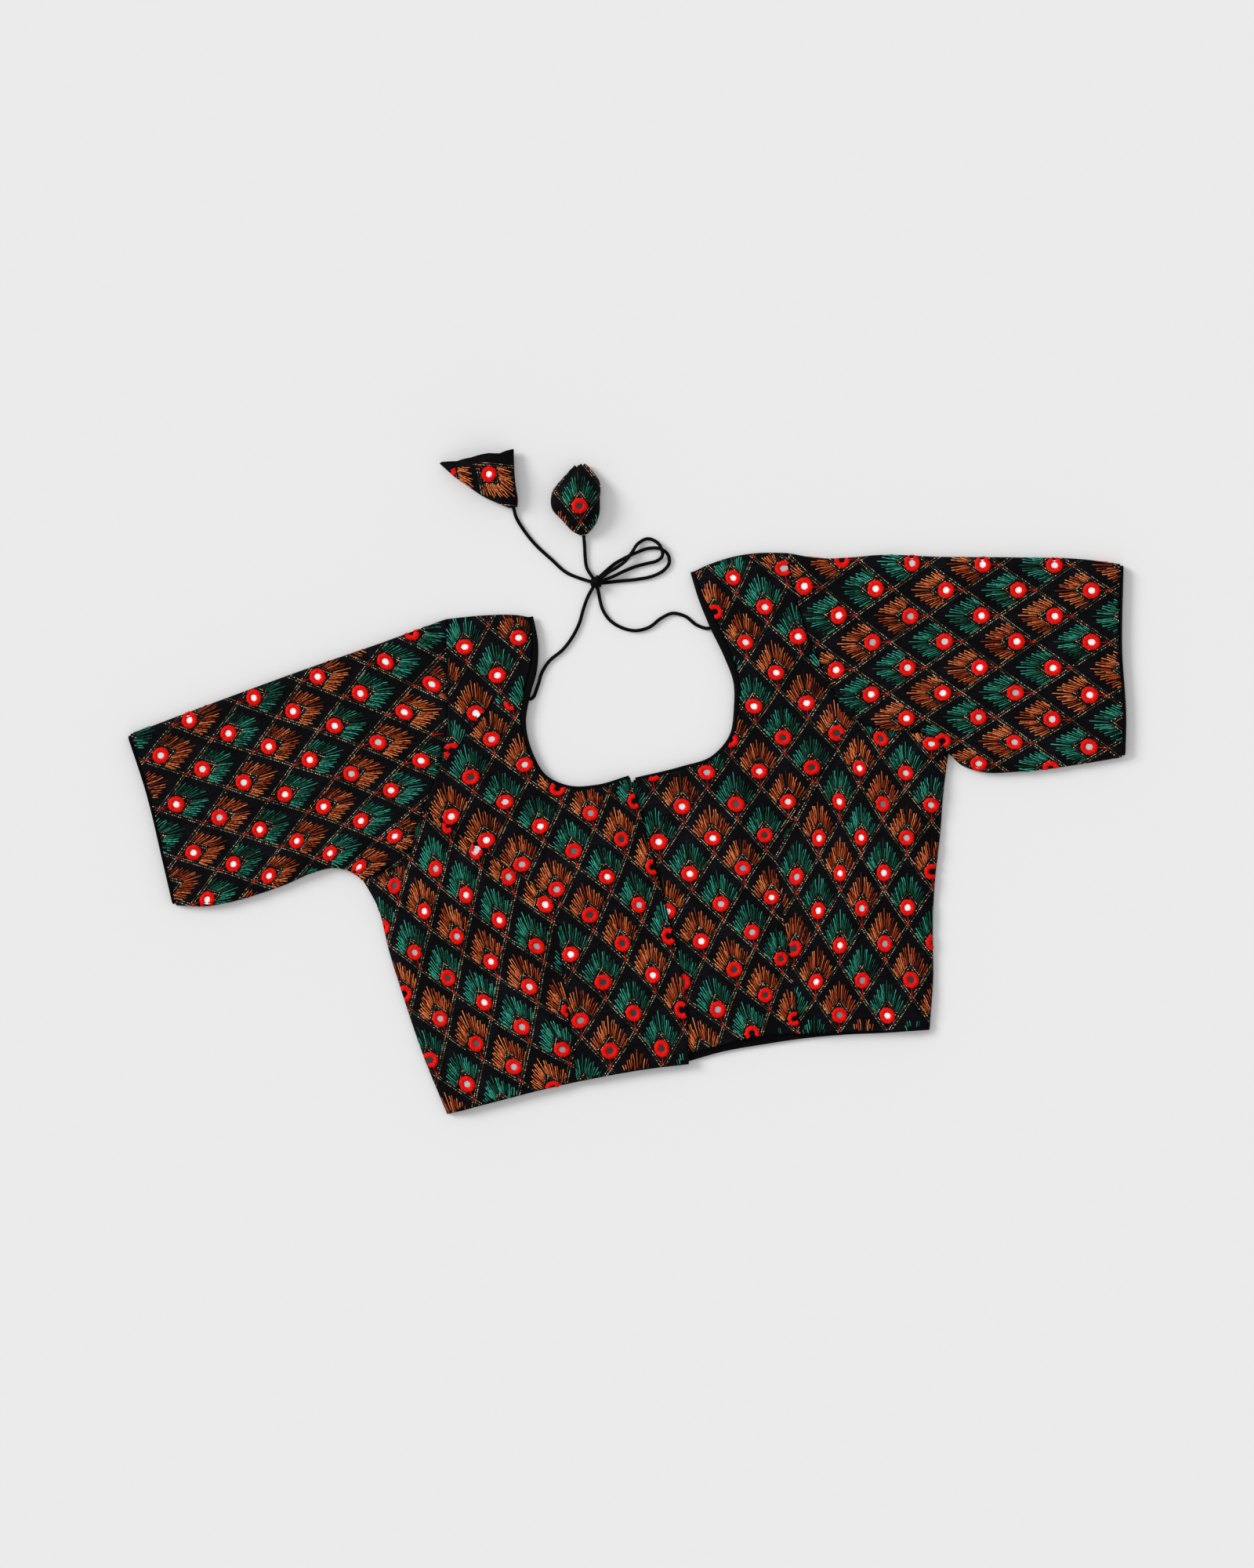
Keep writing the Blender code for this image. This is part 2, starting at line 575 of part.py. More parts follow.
def build_back():
    """The back, flat on the table, and the facing that shows along its hem."""
    hem_left = offset(edge(HEM_LEFT), -BACK_HEM_INSET)
    hem_back = edge(HEM_BACK)
    left = [edge(SIDE_LEFT), edge(ARMHOLE_LEFT), edge(SHOULDER_LEFT)[:-1], back_neck(LEFT)]
    right = [edge(SHOULDER_RIGHT)[::-1][1:], edge(ARMHOLE_RIGHT)[::-1], edge(SIDE_RIGHT)[::-1]]
    outline = outline_of(*left, back_neck(RIGHT)[::-1], *right, hem_back[::-1], hem_left[1:])
    flat_plate("back", outline, 0, WALL, EMBROIDERED)
    visible = hem_back[hem_back[:, 0] < FACING_END]
    facing = np.concatenate([visible, offset(visible, FACING_DEPTH)[::-1]])
    flat_plate("hem_facing", facing, FRONT_BASE, FACING_WALL, BLACK)


def build_sleeve(half):
    """A sleeve tube from the armhole seam to its bound cuff."""
    start = offset(edge(half.armhole), half.turn * ARMHOLE_GAP)
    cuff = edge(half.cuff)
    binding = offset(cuff, half.turn * -CUFF_BINDING)
    end = offset(cuff, half.turn * -(CUFF_BINDING + SEAM_GAP))
    low, top = edge(half.low), edge(half.top)
    low[0], low[-1] = start[0], end[0]
    top[0], top[-1] = start[-1], end[-1]
    name, folds = f"sleeve_{half.name}", half.sleeve_folds
    tube(name, start, end, low, top, folds, SLEEVE_ROWS, 0, SLEEVE_HEIGHT, EMBROIDERED, WALL)
    ends = [np.array([binding[i], cuff[i]]) for i in (0, -1)]
    height = SLEEVE_HEIGHT - 2 * CUFF_BINDING_RISE
    name = f"cuff_binding_{half.name}"
    tube(name, binding, cuff, *ends, [], 2, CUFF_BINDING_RISE, height, BLACK, TRIM_WALL)


def build_ties():
    """The ties from the back neck, knotted in a bow, and the cloth tassels on their ends."""
    knot()
    cord("string_left", [*string_root(LEFT, STRING_LEFT_ROOT), *STRING_LEFT, knot_side(-136, AT_KNOT)])
    cord("string_right", [*string_root(RIGHT, STRING_RIGHT_ROOT), *STRING_RIGHT, knot_side(-86, AT_KNOT)])
    cord("tail_left", [knot_side(163, AT_KNOT), *TAIL_LEFT, tassel_root(TASSEL_LEFT_ROOT)])
    cord("tail_upper", [knot_side(119, AT_KNOT), *TAIL_UPPER, tassel_root(TASSEL_RIGHT_ROOT)])
    cord("loop_outer", [knot_side(56, LOW), *LOOP_OUTER, knot_side(-18, LOW)])
    cord("loop_inner", [knot_side(36, CROSSING), *LOOP_INNER, knot_side(4, CROSSING)])
    tassel("tassel_left", TASSEL_LEFT_ROOT, TASSEL_LEFT)
    tassel("tassel_right", TASSEL_RIGHT_ROOT, TASSEL_RIGHT)


for old in list(bpy.data.objects):
    bpy.data.objects.remove(old)
blouse = bpy.data.collections.new("choli_blouse")
bpy.context.scene.collection.children.link(blouse)
build_back()
for each in (LEFT, RIGHT):
    build_front(each)
    build_neck_binding(each)
    build_sleeve(each)
build_ties()
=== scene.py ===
"""Choli blouse laid flat: embroidered black silk with mirrors, bound edges, a bow and cloth tassels."""

import logging
import math
from collections.abc import Sequence
from dataclasses import dataclass, field
from enum import Enum
from functools import cache
from typing import Any

import bmesh
import bpy
import numpy as np
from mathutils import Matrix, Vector, noise
from mathutils.bvhtree import BVHTree
from mathutils.geometry import delaunay_2d_cdt


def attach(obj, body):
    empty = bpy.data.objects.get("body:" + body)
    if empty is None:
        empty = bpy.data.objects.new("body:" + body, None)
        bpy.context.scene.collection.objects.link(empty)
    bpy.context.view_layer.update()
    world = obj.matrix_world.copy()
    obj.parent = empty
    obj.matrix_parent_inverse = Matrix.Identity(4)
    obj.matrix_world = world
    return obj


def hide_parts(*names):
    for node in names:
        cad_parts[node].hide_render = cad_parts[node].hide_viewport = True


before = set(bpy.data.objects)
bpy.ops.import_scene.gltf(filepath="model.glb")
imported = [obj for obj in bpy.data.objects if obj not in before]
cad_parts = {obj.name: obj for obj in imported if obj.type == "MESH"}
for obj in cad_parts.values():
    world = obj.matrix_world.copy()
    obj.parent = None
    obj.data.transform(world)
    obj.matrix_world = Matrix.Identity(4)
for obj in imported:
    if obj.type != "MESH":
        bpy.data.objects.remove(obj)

log = logging.getLogger("choli")
MM = 0.001
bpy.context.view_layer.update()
Array = np.ndarray
Material = bpy.types.Material
Mesh = bpy.types.Mesh
Obj = bpy.types.Object
Point = tuple[float, float]
Route = Sequence[tuple[float, ...]]

# The photograph's frame, in metres: its middle on the cloth, its height and how far the blouse turns in it
VIEW_CENTRE = (-0.0175, 0.0355)
VIEW_HEIGHT = 1.2
VIEW_TURN = -10.5

# One diamond of the embroidery, in mm along and across it
CELL_LENGTH = 53.5
CELL_WIDTH = 39.2
RING_UP = 0.25  # the mirror's place above the lower corner, as a share of the diamond
CELL_AREAS = (550, 1800)  # square mm; a diamond that the lattice warps past these is left out
CELL_REACH = 12  # mm; a diamond this near the cut still has stitches on the cloth

CORNER = 32.0  # degrees; a ring that turns by more has a corner of the cut there


# Plan geometry


def spaced(line: Array, step: float) -> Array:
    """Spaces a line evenly.

    Args:
        line: its points.
        step: the spacing wanted.

    Returns:
        The points of the same line.
    """
    along = np.concatenate([[0], np.cumsum(np.linalg.norm(np.diff(line, axis=0), axis=1))])
    at = np.linspace(0, along[-1], max(2, round(along[-1] / step) + 1))
    return np.stack([np.interp(at, along, line[:, k]) for k in range(line.shape[1])], axis=1)


def smooth(points: Route, step: float) -> Array:
    """Draws a smooth curve through points.

    Args:
        points: two or more points, of two or more numbers.
        step: the spacing of the result.

    Returns:
        Points on the curve.
    """
    knots = np.array(points, float)
    if len(knots) < 3:
        return spaced(knots, step)
    chord = np.concatenate([[0], np.cumsum(np.linalg.norm(np.diff(knots, axis=0), axis=1))])
    slope = np.gradient(knots, chord, axis=0)
    fine = np.linspace(0, chord[-1], max(8, int(chord[-1] / step) * 6))
    cell = np.clip(np.searchsorted(chord, fine, side="right") - 1, 0, len(knots) - 2)
    span = (chord[cell + 1] - chord[cell])[:, None]
    t = (fine - chord[cell])[:, None] / span
    curve = (
        (2 * t**3 - 3 * t**2 + 1) * knots[cell]
        + (t**3 - 2 * t**2 + t) * span * slope[cell]
        + (3 * t**2 - 2 * t**3) * knots[cell + 1]
        + (t**3 - t**2) * span * slope[cell + 1]
    )
    return spaced(curve, step)


def offset(line: Array, distance: Any) -> Array:
    """Moves a plan line to its left.

    Args:
        line: its points.
        distance: how far, one number or one for each point.

    Returns:
        The moved points.
    """
    run = np.gradient(line, axis=0)
    run /= np.linalg.norm(run, axis=1)[:, None]
    return line + np.stack([-run[:, 1], run[:, 0]], axis=1) * np.reshape(distance, (-1, 1))


def away(points: Array, line: Array) -> Array:
    """Measures how far points are from a line.

    Args:
        points: the points.
        line: the line's points.

    Returns:
        One distance for each point.
    """
    best = np.full(len(points), np.inf)
    for a, b in zip(line[:-1], line[1:]):
        run = b - a
        t = np.clip((points - a) @ run / max(run @ run, 1e-9), 0, 1)
        best = np.minimum(best, np.linalg.norm(points - a - t[:, None] * run, axis=1))
    return best


def inside(points: Array, outline: Array) -> Array:
    """Tells which points lie inside a closed outline.

    Args:
        points: the points.
        outline: the outline's corners.

    Returns:
        True or false for each point.
    """
    hit = np.zeros(len(points), bool)
    x, y = points[:, 0], points[:, 1]
    for (x0, y0), (x1, y1) in zip(outline, np.roll(outline, -1, axis=0)):
        crosses = (y0 > y) != (y1 > y)
        hit ^= crosses & (x < (x1 - x0) * (y - y0) / (y1 - y0 + 1e-12) + x0)
    return hit


def closed(outline: Array) -> Array:
    """Returns the outline with its first point again at the end."""
    return np.concatenate([outline, outline[:1]])


def turns_left(outline: Array) -> bool:
    """Tells whether an outline runs counter-clockwise."""
    x, y = outline[:, 0], outline[:, 1]
    return (x * np.roll(y, -1) - y * np.roll(x, -1)).sum() > 0


def rounded(ring: Array, step: float) -> Array:
    """Rounds a ring's facets, and keeps its corners.

    Args:
        ring: the ring's points.
        step: the spacing of the result.

    Returns:
        The rounded ring.
    """
    before, after = ring - np.roll(ring, 1, axis=0), np.roll(ring, -1, axis=0) - ring
    turn = np.arctan2(after[:, 1], after[:, 0]) - np.arctan2(before[:, 1], before[:, 0])
    turn = np.abs((turn + math.pi) % (2 * math.pi) - math.pi)
    corners = [int(k) for k in np.flatnonzero(turn > math.radians(CORNER))]
    if not corners:
        return smooth(closed(ring), step)[:-1]
    parts = []
    for start, end in zip(corners, corners[1:] + [corners[0] + len(ring)]):
        parts.append(smooth(ring[np.arange(start, end + 1) % len(ring)], step)[:-1])
    return np.concatenate(parts)


def cloud(points: Array, size: float, seed: float) -> Array:
    """Smooth unevenness.

    Args:
        points: places in plan, in mm.
        size: how far apart its humps are.
        seed: which pattern.

    Returns:
        A number from about -1 to 1 for each place.
    """
    return np.array([noise.noise(Vector((x / size, y / size, seed))) for x, y in points])


# Objects


def written(bm: bmesh.types.BMesh, mesh: Mesh) -> Mesh:
    """Writes edited geometry to a mesh.

    Args:
        bm: the geometry, which is freed.
        mesh: the mesh.

    Returns:
        The mesh.
    """
    bm.to_mesh(mesh)
    bm.free()
    return mesh


def grown_mesh(name: str, points: Array, faces: Sequence[Sequence[int]]) -> Mesh:
    """Makes a smooth-shaded mesh.

    Args:
        name: the mesh's name.
        points: its points in mm.
        faces: its faces.

    Returns:
        The mesh, in metres.
    """
    mesh = bpy.data.meshes.new(name)
    mesh.from_pydata((np.asarray(points) * MM).tolist(), [], [list(map(int, f)) for f in faces])
    mesh.shade_smooth()
    return mesh


def placed(name: str, mesh: Mesh, material: Material | None = None) -> Obj:
    """Puts a mesh in the scene as an object.

    Args:
        name: the object's name.
        mesh: its mesh.
        material: its material, if it has none yet.

    Returns:
        The object.
    """
    obj = bpy.data.objects.new(name, mesh)
    bpy.context.scene.collection.objects.link(obj)
    if material:
        mesh.materials.clear()
        mesh.materials.append(material)
    return obj


def settled(obj: Obj) -> Obj:
    """Turns an object's modifiers into plain mesh.

    Args:
        obj: the object.

    Returns:
        The same object, without modifiers.
    """
    graph = bpy.context.evaluated_depsgraph_get()
    graph.update()
    mesh = bpy.data.meshes.new_from_object(obj.evaluated_get(graph))
    obj.modifiers.clear()
    obj.data = mesh
    return obj


def part_of(obj: Obj, slot: str, *nodes: str) -> Obj:
    """Fixes a finished piece to the blouse.

    Args:
        obj: the piece.
        slot: the record's material slot; not used.
        nodes: the solids that it stands for.

    Returns:
        The piece.
    """
    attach(obj, "root")
    if nodes:
        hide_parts(*nodes)
    log.info("%s: %d faces", obj.name, len(obj.data.polygons))
    return obj


# Finishes


def linear(code: str) -> tuple[float, ...]:
    """Turns an sRGB hex colour to linear light.

    Args:
        code: six hex digits.

    Returns:
        Red, green, blue and an alpha of one.
    """
    parts = [int(code[i : i + 2], 16) / 255 for i in (0, 2, 4)]
    return (*[c / 12.92 if c <= 0.04045 else ((c + 0.055) / 1.055) ** 2.4 for c in parts], 1.0)


class Nodes:
    """A node tree under construction."""

    def __init__(self, tree: bpy.types.NodeTree) -> None:
        """Starts from a tree."""
        self.tree = tree

    def add(self, kind: str, inputs: dict[Any, Any] | None = None, **settings: Any) -> Any:
        """Adds a node with its settings, and fills or links its inputs.

        Args:
            kind: the node's type.
            inputs: socket name or number to a value, to an output that is linked, or to a list of them.
            settings: the node's own properties.

        Returns:
            The node's outputs.
        """
        node = self.tree.nodes.new(kind)
        for name, value in settings.items():
            setattr(node, name, value)
        for key, value in (inputs or {}).items():
            if isinstance(value, (bpy.types.NodeSocket, list)):
                for output in value if isinstance(value, list) else [value]:
                    self.tree.links.new(output, node.inputs[key])
            else:
                node.inputs[key].default_value = value
        return node.outputs

    def maths(self, operation: str, *values: Any) -> Any:
        """Returns the result of an operation on numbers."""
        return self.add("ShaderNodeMath", dict(enumerate(values)), operation=operation)[0]

    def noise(self, vector: Any, scale: float, detail: float) -> Any:
        """Returns the outputs of soft noise, its strength first."""
        return self.add("ShaderNodeTexNoise", {"Vector": vector, "Scale": scale, "Detail": detail})


class Paint(Nodes):
    """A procedural material under construction."""

    def __init__(self, name: str, roughness: float, gloss: float, metallic: float = 0.0) -> None:
        """Starts a material.

        Args:
            name: its name.
            roughness: how matt it is.
            gloss: the strength of its reflection.
            metallic: the share of a metal's reflection.
        """
        self.material = bpy.data.materials.new(name)
        self.material.use_nodes = True
        super().__init__(self.material.node_tree)
        self.shader = self.tree.nodes["Principled BSDF"].inputs
        for label, value in (("Roughness", roughness), ("Specular IOR Level", gloss), ("Metallic", metallic)):
            self.shader[label].default_value = value

    def place(self) -> Any:
        """Returns the place on the piece."""
        return self.add("ShaderNodeTexCoord")["Object"]

    def shade(self) -> Any:
        """Returns each stitch's or mirror's shade: its own tone, with painted sheen, highlight and reflection
        in it.
        """
        return self.add("ShaderNodeAttribute", attribute_name="shade")["Fac"]

    def mix(self, share: Any, low: str, high: str) -> Any:
        """Returns a colour between two."""
        return self.add("ShaderNodeMix", {0: share, 6: linear(low), 7: linear(high)}, data_type="RGBA")[2]

    def ramp(self, share: Any, *stops: tuple[float, str], ease: str = "LINEAR") -> Any:
        """Runs through colours.

        Args:
            share: where on the ramp, from 0 to 1.
            stops: places and hex colours, the first at 0 and the last at 1.
            ease: how it runs from one to the next.

        Returns:
            The colour.
        """
        outputs = self.add("ShaderNodeValToRGB", {"Fac": share})
        scale = outputs[0].node.color_ramp
        scale.interpolation = ease
        scale.elements[0].color = linear(stops[0][1])
        scale.elements[1].color = linear(stops[-1][1])
        for at, code in stops[1:-1]:
            scale.elements.new(at).color = linear(code)
        return outputs[0]

    def waves(self, size: float, distortion: float, direction: str) -> Any:
        """Draws ribs.

        Args:
            size: their spacing in mm.
            distortion: how uneven they are.
            direction: the way that they follow each other.

        Returns:
            Their height.
        """
        inputs = {"Vector": self.place(), "Scale": 500 / size, "Distortion": distortion}
        return self.add("ShaderNodeTexWave", inputs, bands_direction=direction)[1]

    def finished(self, colour: Any, height: Any, strength: float, depth: float) -> Material:
        """Links the shader.

        Args:
            colour: the colour's output.
            height: the relief's output.
            strength: the relief's strength.
            depth: the relief's depth in mm.

        Returns:
            The material.
        """
        bump = self.add("ShaderNodeBump", {"Height": height, "Strength": strength, "Distance": depth * MM})
        self.tree.links.new(colour, self.shader["Base Color"])
        self.tree.links.new(bump[0], self.shader["Normal"])
        return self.material


@dataclass(frozen=True)
class Silk:
    """Dupion silk, hand-loomed: uneven slub threads run across it; their faint lighter streaks are painted
    sheen.
    """

    name: str = "black dupion silk"
    ground: str = "020204"
    slub_and_sheen: str = "0c0c14"
    slub_length: float = 14.0
    slub_width: float = 0.9
    thread: float = 1.1  # mm; the real 0.3 mm threads are too fine to show

    def build(self) -> Material:
        """Builds the material.

        Returns:
            The material.
        """
        paint = Paint(self.name, 0.7, 0.06)
        place = paint.place()
        size = (1000 / self.slub_length, 1000 / self.slub_width, 300)
        slubs = paint.noise(paint.add("ShaderNodeMapping", {"Vector": place, "Scale": size})[0], 1.0, 3.0)[0]
        # the slub streaks' lighter colour, mixed in below, is painted sheen
        share = paint.maths("MULTIPLY", slubs, paint.noise(place, 60.0, 2.0)[0])
        share = paint.add("ShaderNodeMapRange", {"Value": share, "From Min": 0.2, "From Max": 0.42})[0]
        height = paint.maths("ADD", paint.waves(self.thread, 1.2, "X"), slubs)
        return paint.finished(paint.mix(share, self.ground, self.slub_and_sheen), height, 0.25, 0.3)


@dataclass(frozen=True)
class Thread:
    """Embroidery thread, laid strand by strand: each stitch has its own depth of colour, with painted sheen
    and highlight in it, and a soft gloss.
    """

    name: str
    deep: str
    full: str
    bright: str
    roughness: float = 0.5
    gloss: float = 0.2
    patches: float = 0.5

    def build(self) -> Material:
        """Builds the material.

        Returns:
            The material.
        """
        paint = Paint(self.name, self.roughness, self.gloss)
        place = paint.place()
        patch = paint.maths("MULTIPLY_ADD", paint.noise(place, 60.0, 1.0)[0], self.patches, -self.patches / 2)
        stops = ((0, self.deep), (0.5, self.full), (1, self.bright))
        tones = paint.ramp(paint.maths("ADD", patch, paint.shade()), *stops)
        return paint.finished(tones, paint.noise(place, 2600.0, 1.0)[0], 0.35, 0.15)


@dataclass(frozen=True)
class MirrorGlass:
    """Shisha glass, cut from blown and silvered bulbs: each disc has a painted reflection, from dark to
    white.
    """

    name: str = "silvered shisha glass"
    dark: str = "2c2c30"
    grey: str = "b4b4b8"
    white: str = "ffffff"
    silver: float = 0.3  # share of the metal's reflection; the rest is the bubbled glass, whose colour holds the painted reflection

    def build(self) -> Material:
        """Builds the material.

        Returns:
            The material.
        """
        paint = Paint(self.name, 0.12, 0.5, self.silver)
        stops = ((0, self.dark), (0.2, self.grey), (0.55, self.white), (1, self.white))
        tones = paint.ramp(paint.shade(), *stops, ease="EASE")
        return paint.finished(tones, paint.noise(paint.place(), 420.0, 1.0)[0], 0.12, 0.2)


@dataclass(frozen=True)
class PlainSilk:
    """Plain black silk, cut on the bias: close diagonal ribs, and a low sheen along the rolled edge."""

    name: str = "black bias silk"
    ground: str = "010102"
    worn: str = "08080b"
    rib: float = 1.2  # mm; the real twill of 0.4 mm is too fine to show

    def build(self) -> Material:
        """Builds the material.

        Returns:
            The material.
        """
        paint = Paint(self.name, 0.6, 0.05)
        tone = paint.mix(paint.noise(paint.place(), 220.0, 3.0)[0], self.ground, self.worn)
        return paint.finished(tone, paint.waves(self.rib, 0.6, "DIAGONAL"), 0.3, 0.2)


@dataclass(frozen=True)
class StudioPaper:
    """Pale matt studio paper, which takes the blouse's soft shadow."""

    name: str = "pale studio paper"
    tone: str = "eaeaea"

    def build(self) -> Material:
        """Builds the material.

        Returns:
            The material.
        """
        paint = Paint(self.name, 0.9, 0.1)
        paint.shader["Base Color"].default_value = linear(self.tone)
        return paint.material


class Finish(Enum):
    """The blouse's materials."""

    GROUND = Silk()
    BIAS = PlainSilk()
    # The gilt chain is plain thread in the zari's gold: its dots' random spread from deep brown to bright
    # cream is a painted glint of the metal.
    GILT = Thread("gilt zari chain", "120b04", "6e5836", "fbe8bc", gloss=0.25)
    ORANGE = Thread("orange rayon floss", "2c0802", "a83c08", "f08a4e")
    GREEN = Thread("green rayon floss", "011c15", "045640", "36aa90")
    RED = Thread("red cotton floss", "6a0603", "de100a", "f82016", roughness=0.65, gloss=0.06, patches=0.2)
    MIRROR = MirrorGlass()
    PAPER = StudioPaper()

    def material(self) -> Material:
        """Returns the finish's material, built once."""
        return bpy.data.materials.get(self.value.name) or self.value.build()


# Embroidery


@dataclass(frozen=True)
class Stitch:
    """One stitch of a chart: its ends and width in mm, its height over the cloth, its tone and its parts.

    A stitch of several parts bends a little, and has a painted highlight: darker at its root, brighter
    towards its tip.
    """

    start: Any
    end: Any
    width: float
    level: float = 0.15
    tone: float = 0.0
    parts: int = 1


@dataclass
class Motif:
    """The diamond's chart, in mm from its mirror: x across, and y towards its upper corner."""

    pitch: float = 1.55
    row_gap: float = 1.5
    dot: float = 0.9
    dot_width: float = 0.55
    dot_slant: float = 0.25
    inner: float = 0.46  # size of the small diamond round the mirror
    spikes: int = 9
    fills: int = 10
    spike_width: float = 0.66
    bent: float = 7.3  # a longer stitch of the fan bends
    ring_stitches: int = 36
    ring_inner: float = 2.55
    ring_outer: float = 6.1
    ring_width: float = 1.2
    lift: float = 1.0  # scale of the stitches' heights over the cloth
    brighter: float = 0.5  # painted highlight: how much a bent stitch's tone rises along it, from a shaded root to a lit tip

    def corner(self, up: float, across: float) -> Point:
        """Returns a place in the diamond, given as shares of its length and width."""
        return (across * CELL_WIDTH, (up - RING_UP) * CELL_LENGTH)

    def chain(self, start: Point, end: Point) -> list[Stitch]:
        """Two rows of chain stitch side by side.

        Args:
            start: one end of their middle line.
            end: the other end.

        Returns:
            The stitches.
        """
        run = np.array(end) - start
        length = float(np.linalg.norm(run))
        run /= length
        side = np.array([-run[1], run[0]]) * self.row_gap / 2
        found = []
        for row, slip in ((1, 0.0), (-1, 0.5)):
            for k in range(int(length / self.pitch)):
                a = np.array(start) + side * row + run * (k + slip) * self.pitch
                b = a + run * self.dot + side / np.linalg.norm(side) * self.dot_slant * row
                found.append(Stitch(a, b, self.dot_width))
        return found

    def borders(self) -> list[Stitch]:
        """The diamond's two lower borders and the peak over its mirror.

        Returns:
            The stitches.
        """
        low, apex = self.corner(0, 0), self.corner(self.inner, 0)
        found: list[Stitch] = []
        for side in (-1, 1):
            found += self.chain(low, self.corner(0.5, 0.5 * side))
            found += self.chain(apex, self.corner(self.inner / 2 + 0.02, side * (self.inner / 2 - 0.02)))
        return found

    def fan(self) -> list[Stitch]:
        """The fan of straight stitches over the peak: long spikes on a dense fill.

        Returns:
            The stitches.
        """
        apex = np.array(self.corner(self.inner, 0))
        leg = np.array(self.corner(self.inner / 2, self.inner / 2)) - apex
        out = np.array([-leg[1], leg[0]]) / np.linalg.norm(leg)
        found = [Stitch((0, apex[1] + 1.6), (0, apex[1] + 15.5), self.spike_width, 0.4)]
        for side in (-1, 1):
            # painted light: spikes get tone 0.05 and the fill under them -0.05, a painted shade under the
            # spikes
            for k in range(self.spikes):
                q = 0.05 + 0.83 * k / (self.spikes - 1)
                length = 13.0 - 5.0 * q + (0.9 if k % 2 else -0.9)
                found.append(self.spike(apex + leg * q + out * 1.7, side, 3 + 33 * q, length, 0.45, 0.05))
            for k in range(self.fills):
                q = 0.01 + 0.84 * k / (self.fills - 1)
                length = 7.0 - 1.8 * (k % 2)
                found.append(self.spike(apex + leg * q + out * 1.4, side, 6 + 31 * q, length, 0.25, -0.05))
        return found

    def spike(self, root: Array, side: int, lean: float, length: float, level: float, tone: float) -> Stitch:
        """One straight stitch of the fan.

        Args:
            root: its lower end on the right half.
            side: 1 for the right half and -1 for the left.
            lean: how far it leans out, in degrees.
            length: its length.
            level: its height over the cloth.
            tone: how much brighter than the rest it is.

        Returns:
            The stitch.
        """
        angle = math.radians(lean)
        tip = root + length * np.array([math.sin(angle), math.cos(angle)])
        parts = 3 if length > self.bent else 1
        ends = [(side * x, y) for x, y in (root, tip)]
        return Stitch(*ends, self.spike_width, level, tone, parts)

    def ring(self) -> list[Stitch]:
        """The ring of radial stitches that holds the mirror, and its tail to the lower corner.

        Returns:
            The stitches.
        """
        found = []
        for k in range(self.ring_stitches):
            angle = math.tau * k / self.ring_stitches
            c, s = math.cos(angle), math.sin(angle)
            ends = [(reach * c, reach * s) for reach in (self.ring_inner, self.ring_outer)]
            found.append(Stitch(*ends, self.ring_width, 0.55, 0.1))
        low = self.corner(0, 0)[1]
        found.append(Stitch((0, -5.6), (0.2, low + 1.8), 0.55, 0.3, -0.25))
        for x, reach in ((-0.7, 0.8), (0.0, 0.0), (0.7, 0.6)):
            found.append(Stitch((x, low + 1.6), (0.7 * x, low - 0.7 + reach), 0.6, 0.35, -0.2))
        return found

    def chart(self, name: str, stitches: list[Stitch]) -> Obj:
        """Draws stitches as loose edges, in steps of the lattice, for the node tree to repeat.

        Args:
            name: the chart's name.
            stitches: the stitches.

        Returns:
            A hidden object.
        """
        places, edges, facts = [], [], []
        for number, s in enumerate(stitches):
            first = len(places)
            places += np.linspace((*s.start, s.level), (*s.end, s.level), s.parts + 1).tolist()
            for part in range(s.parts):
                edges.append((first + part, first + part + 1))
                # painted highlight: each part of a bent stitch is a little brighter than the one before it
                facts.append((s.width, s.tone + self.brighter * ((part + 0.5) / s.parts - 0.5), number))
        across, up, level = np.array(places).T
        across, up = across / CELL_WIDTH, up / CELL_LENGTH
        mesh = bpy.data.meshes.new(name)
        mesh.from_pydata(np.column_stack([up + across, up - across, level * self.lift]).tolist(), edges, [])
        for label, column in zip(("width", "tone", "stitch"), zip(*facts)):
            mesh.attributes.new(label, "FLOAT", "EDGE").data.foreach_set("value", column)
        return bpy.data.objects.new(name, mesh)


class Side(Enum):
    """The side of the cloth that is stitched."""

    TOP = 1.0
    UNDER = -1.0


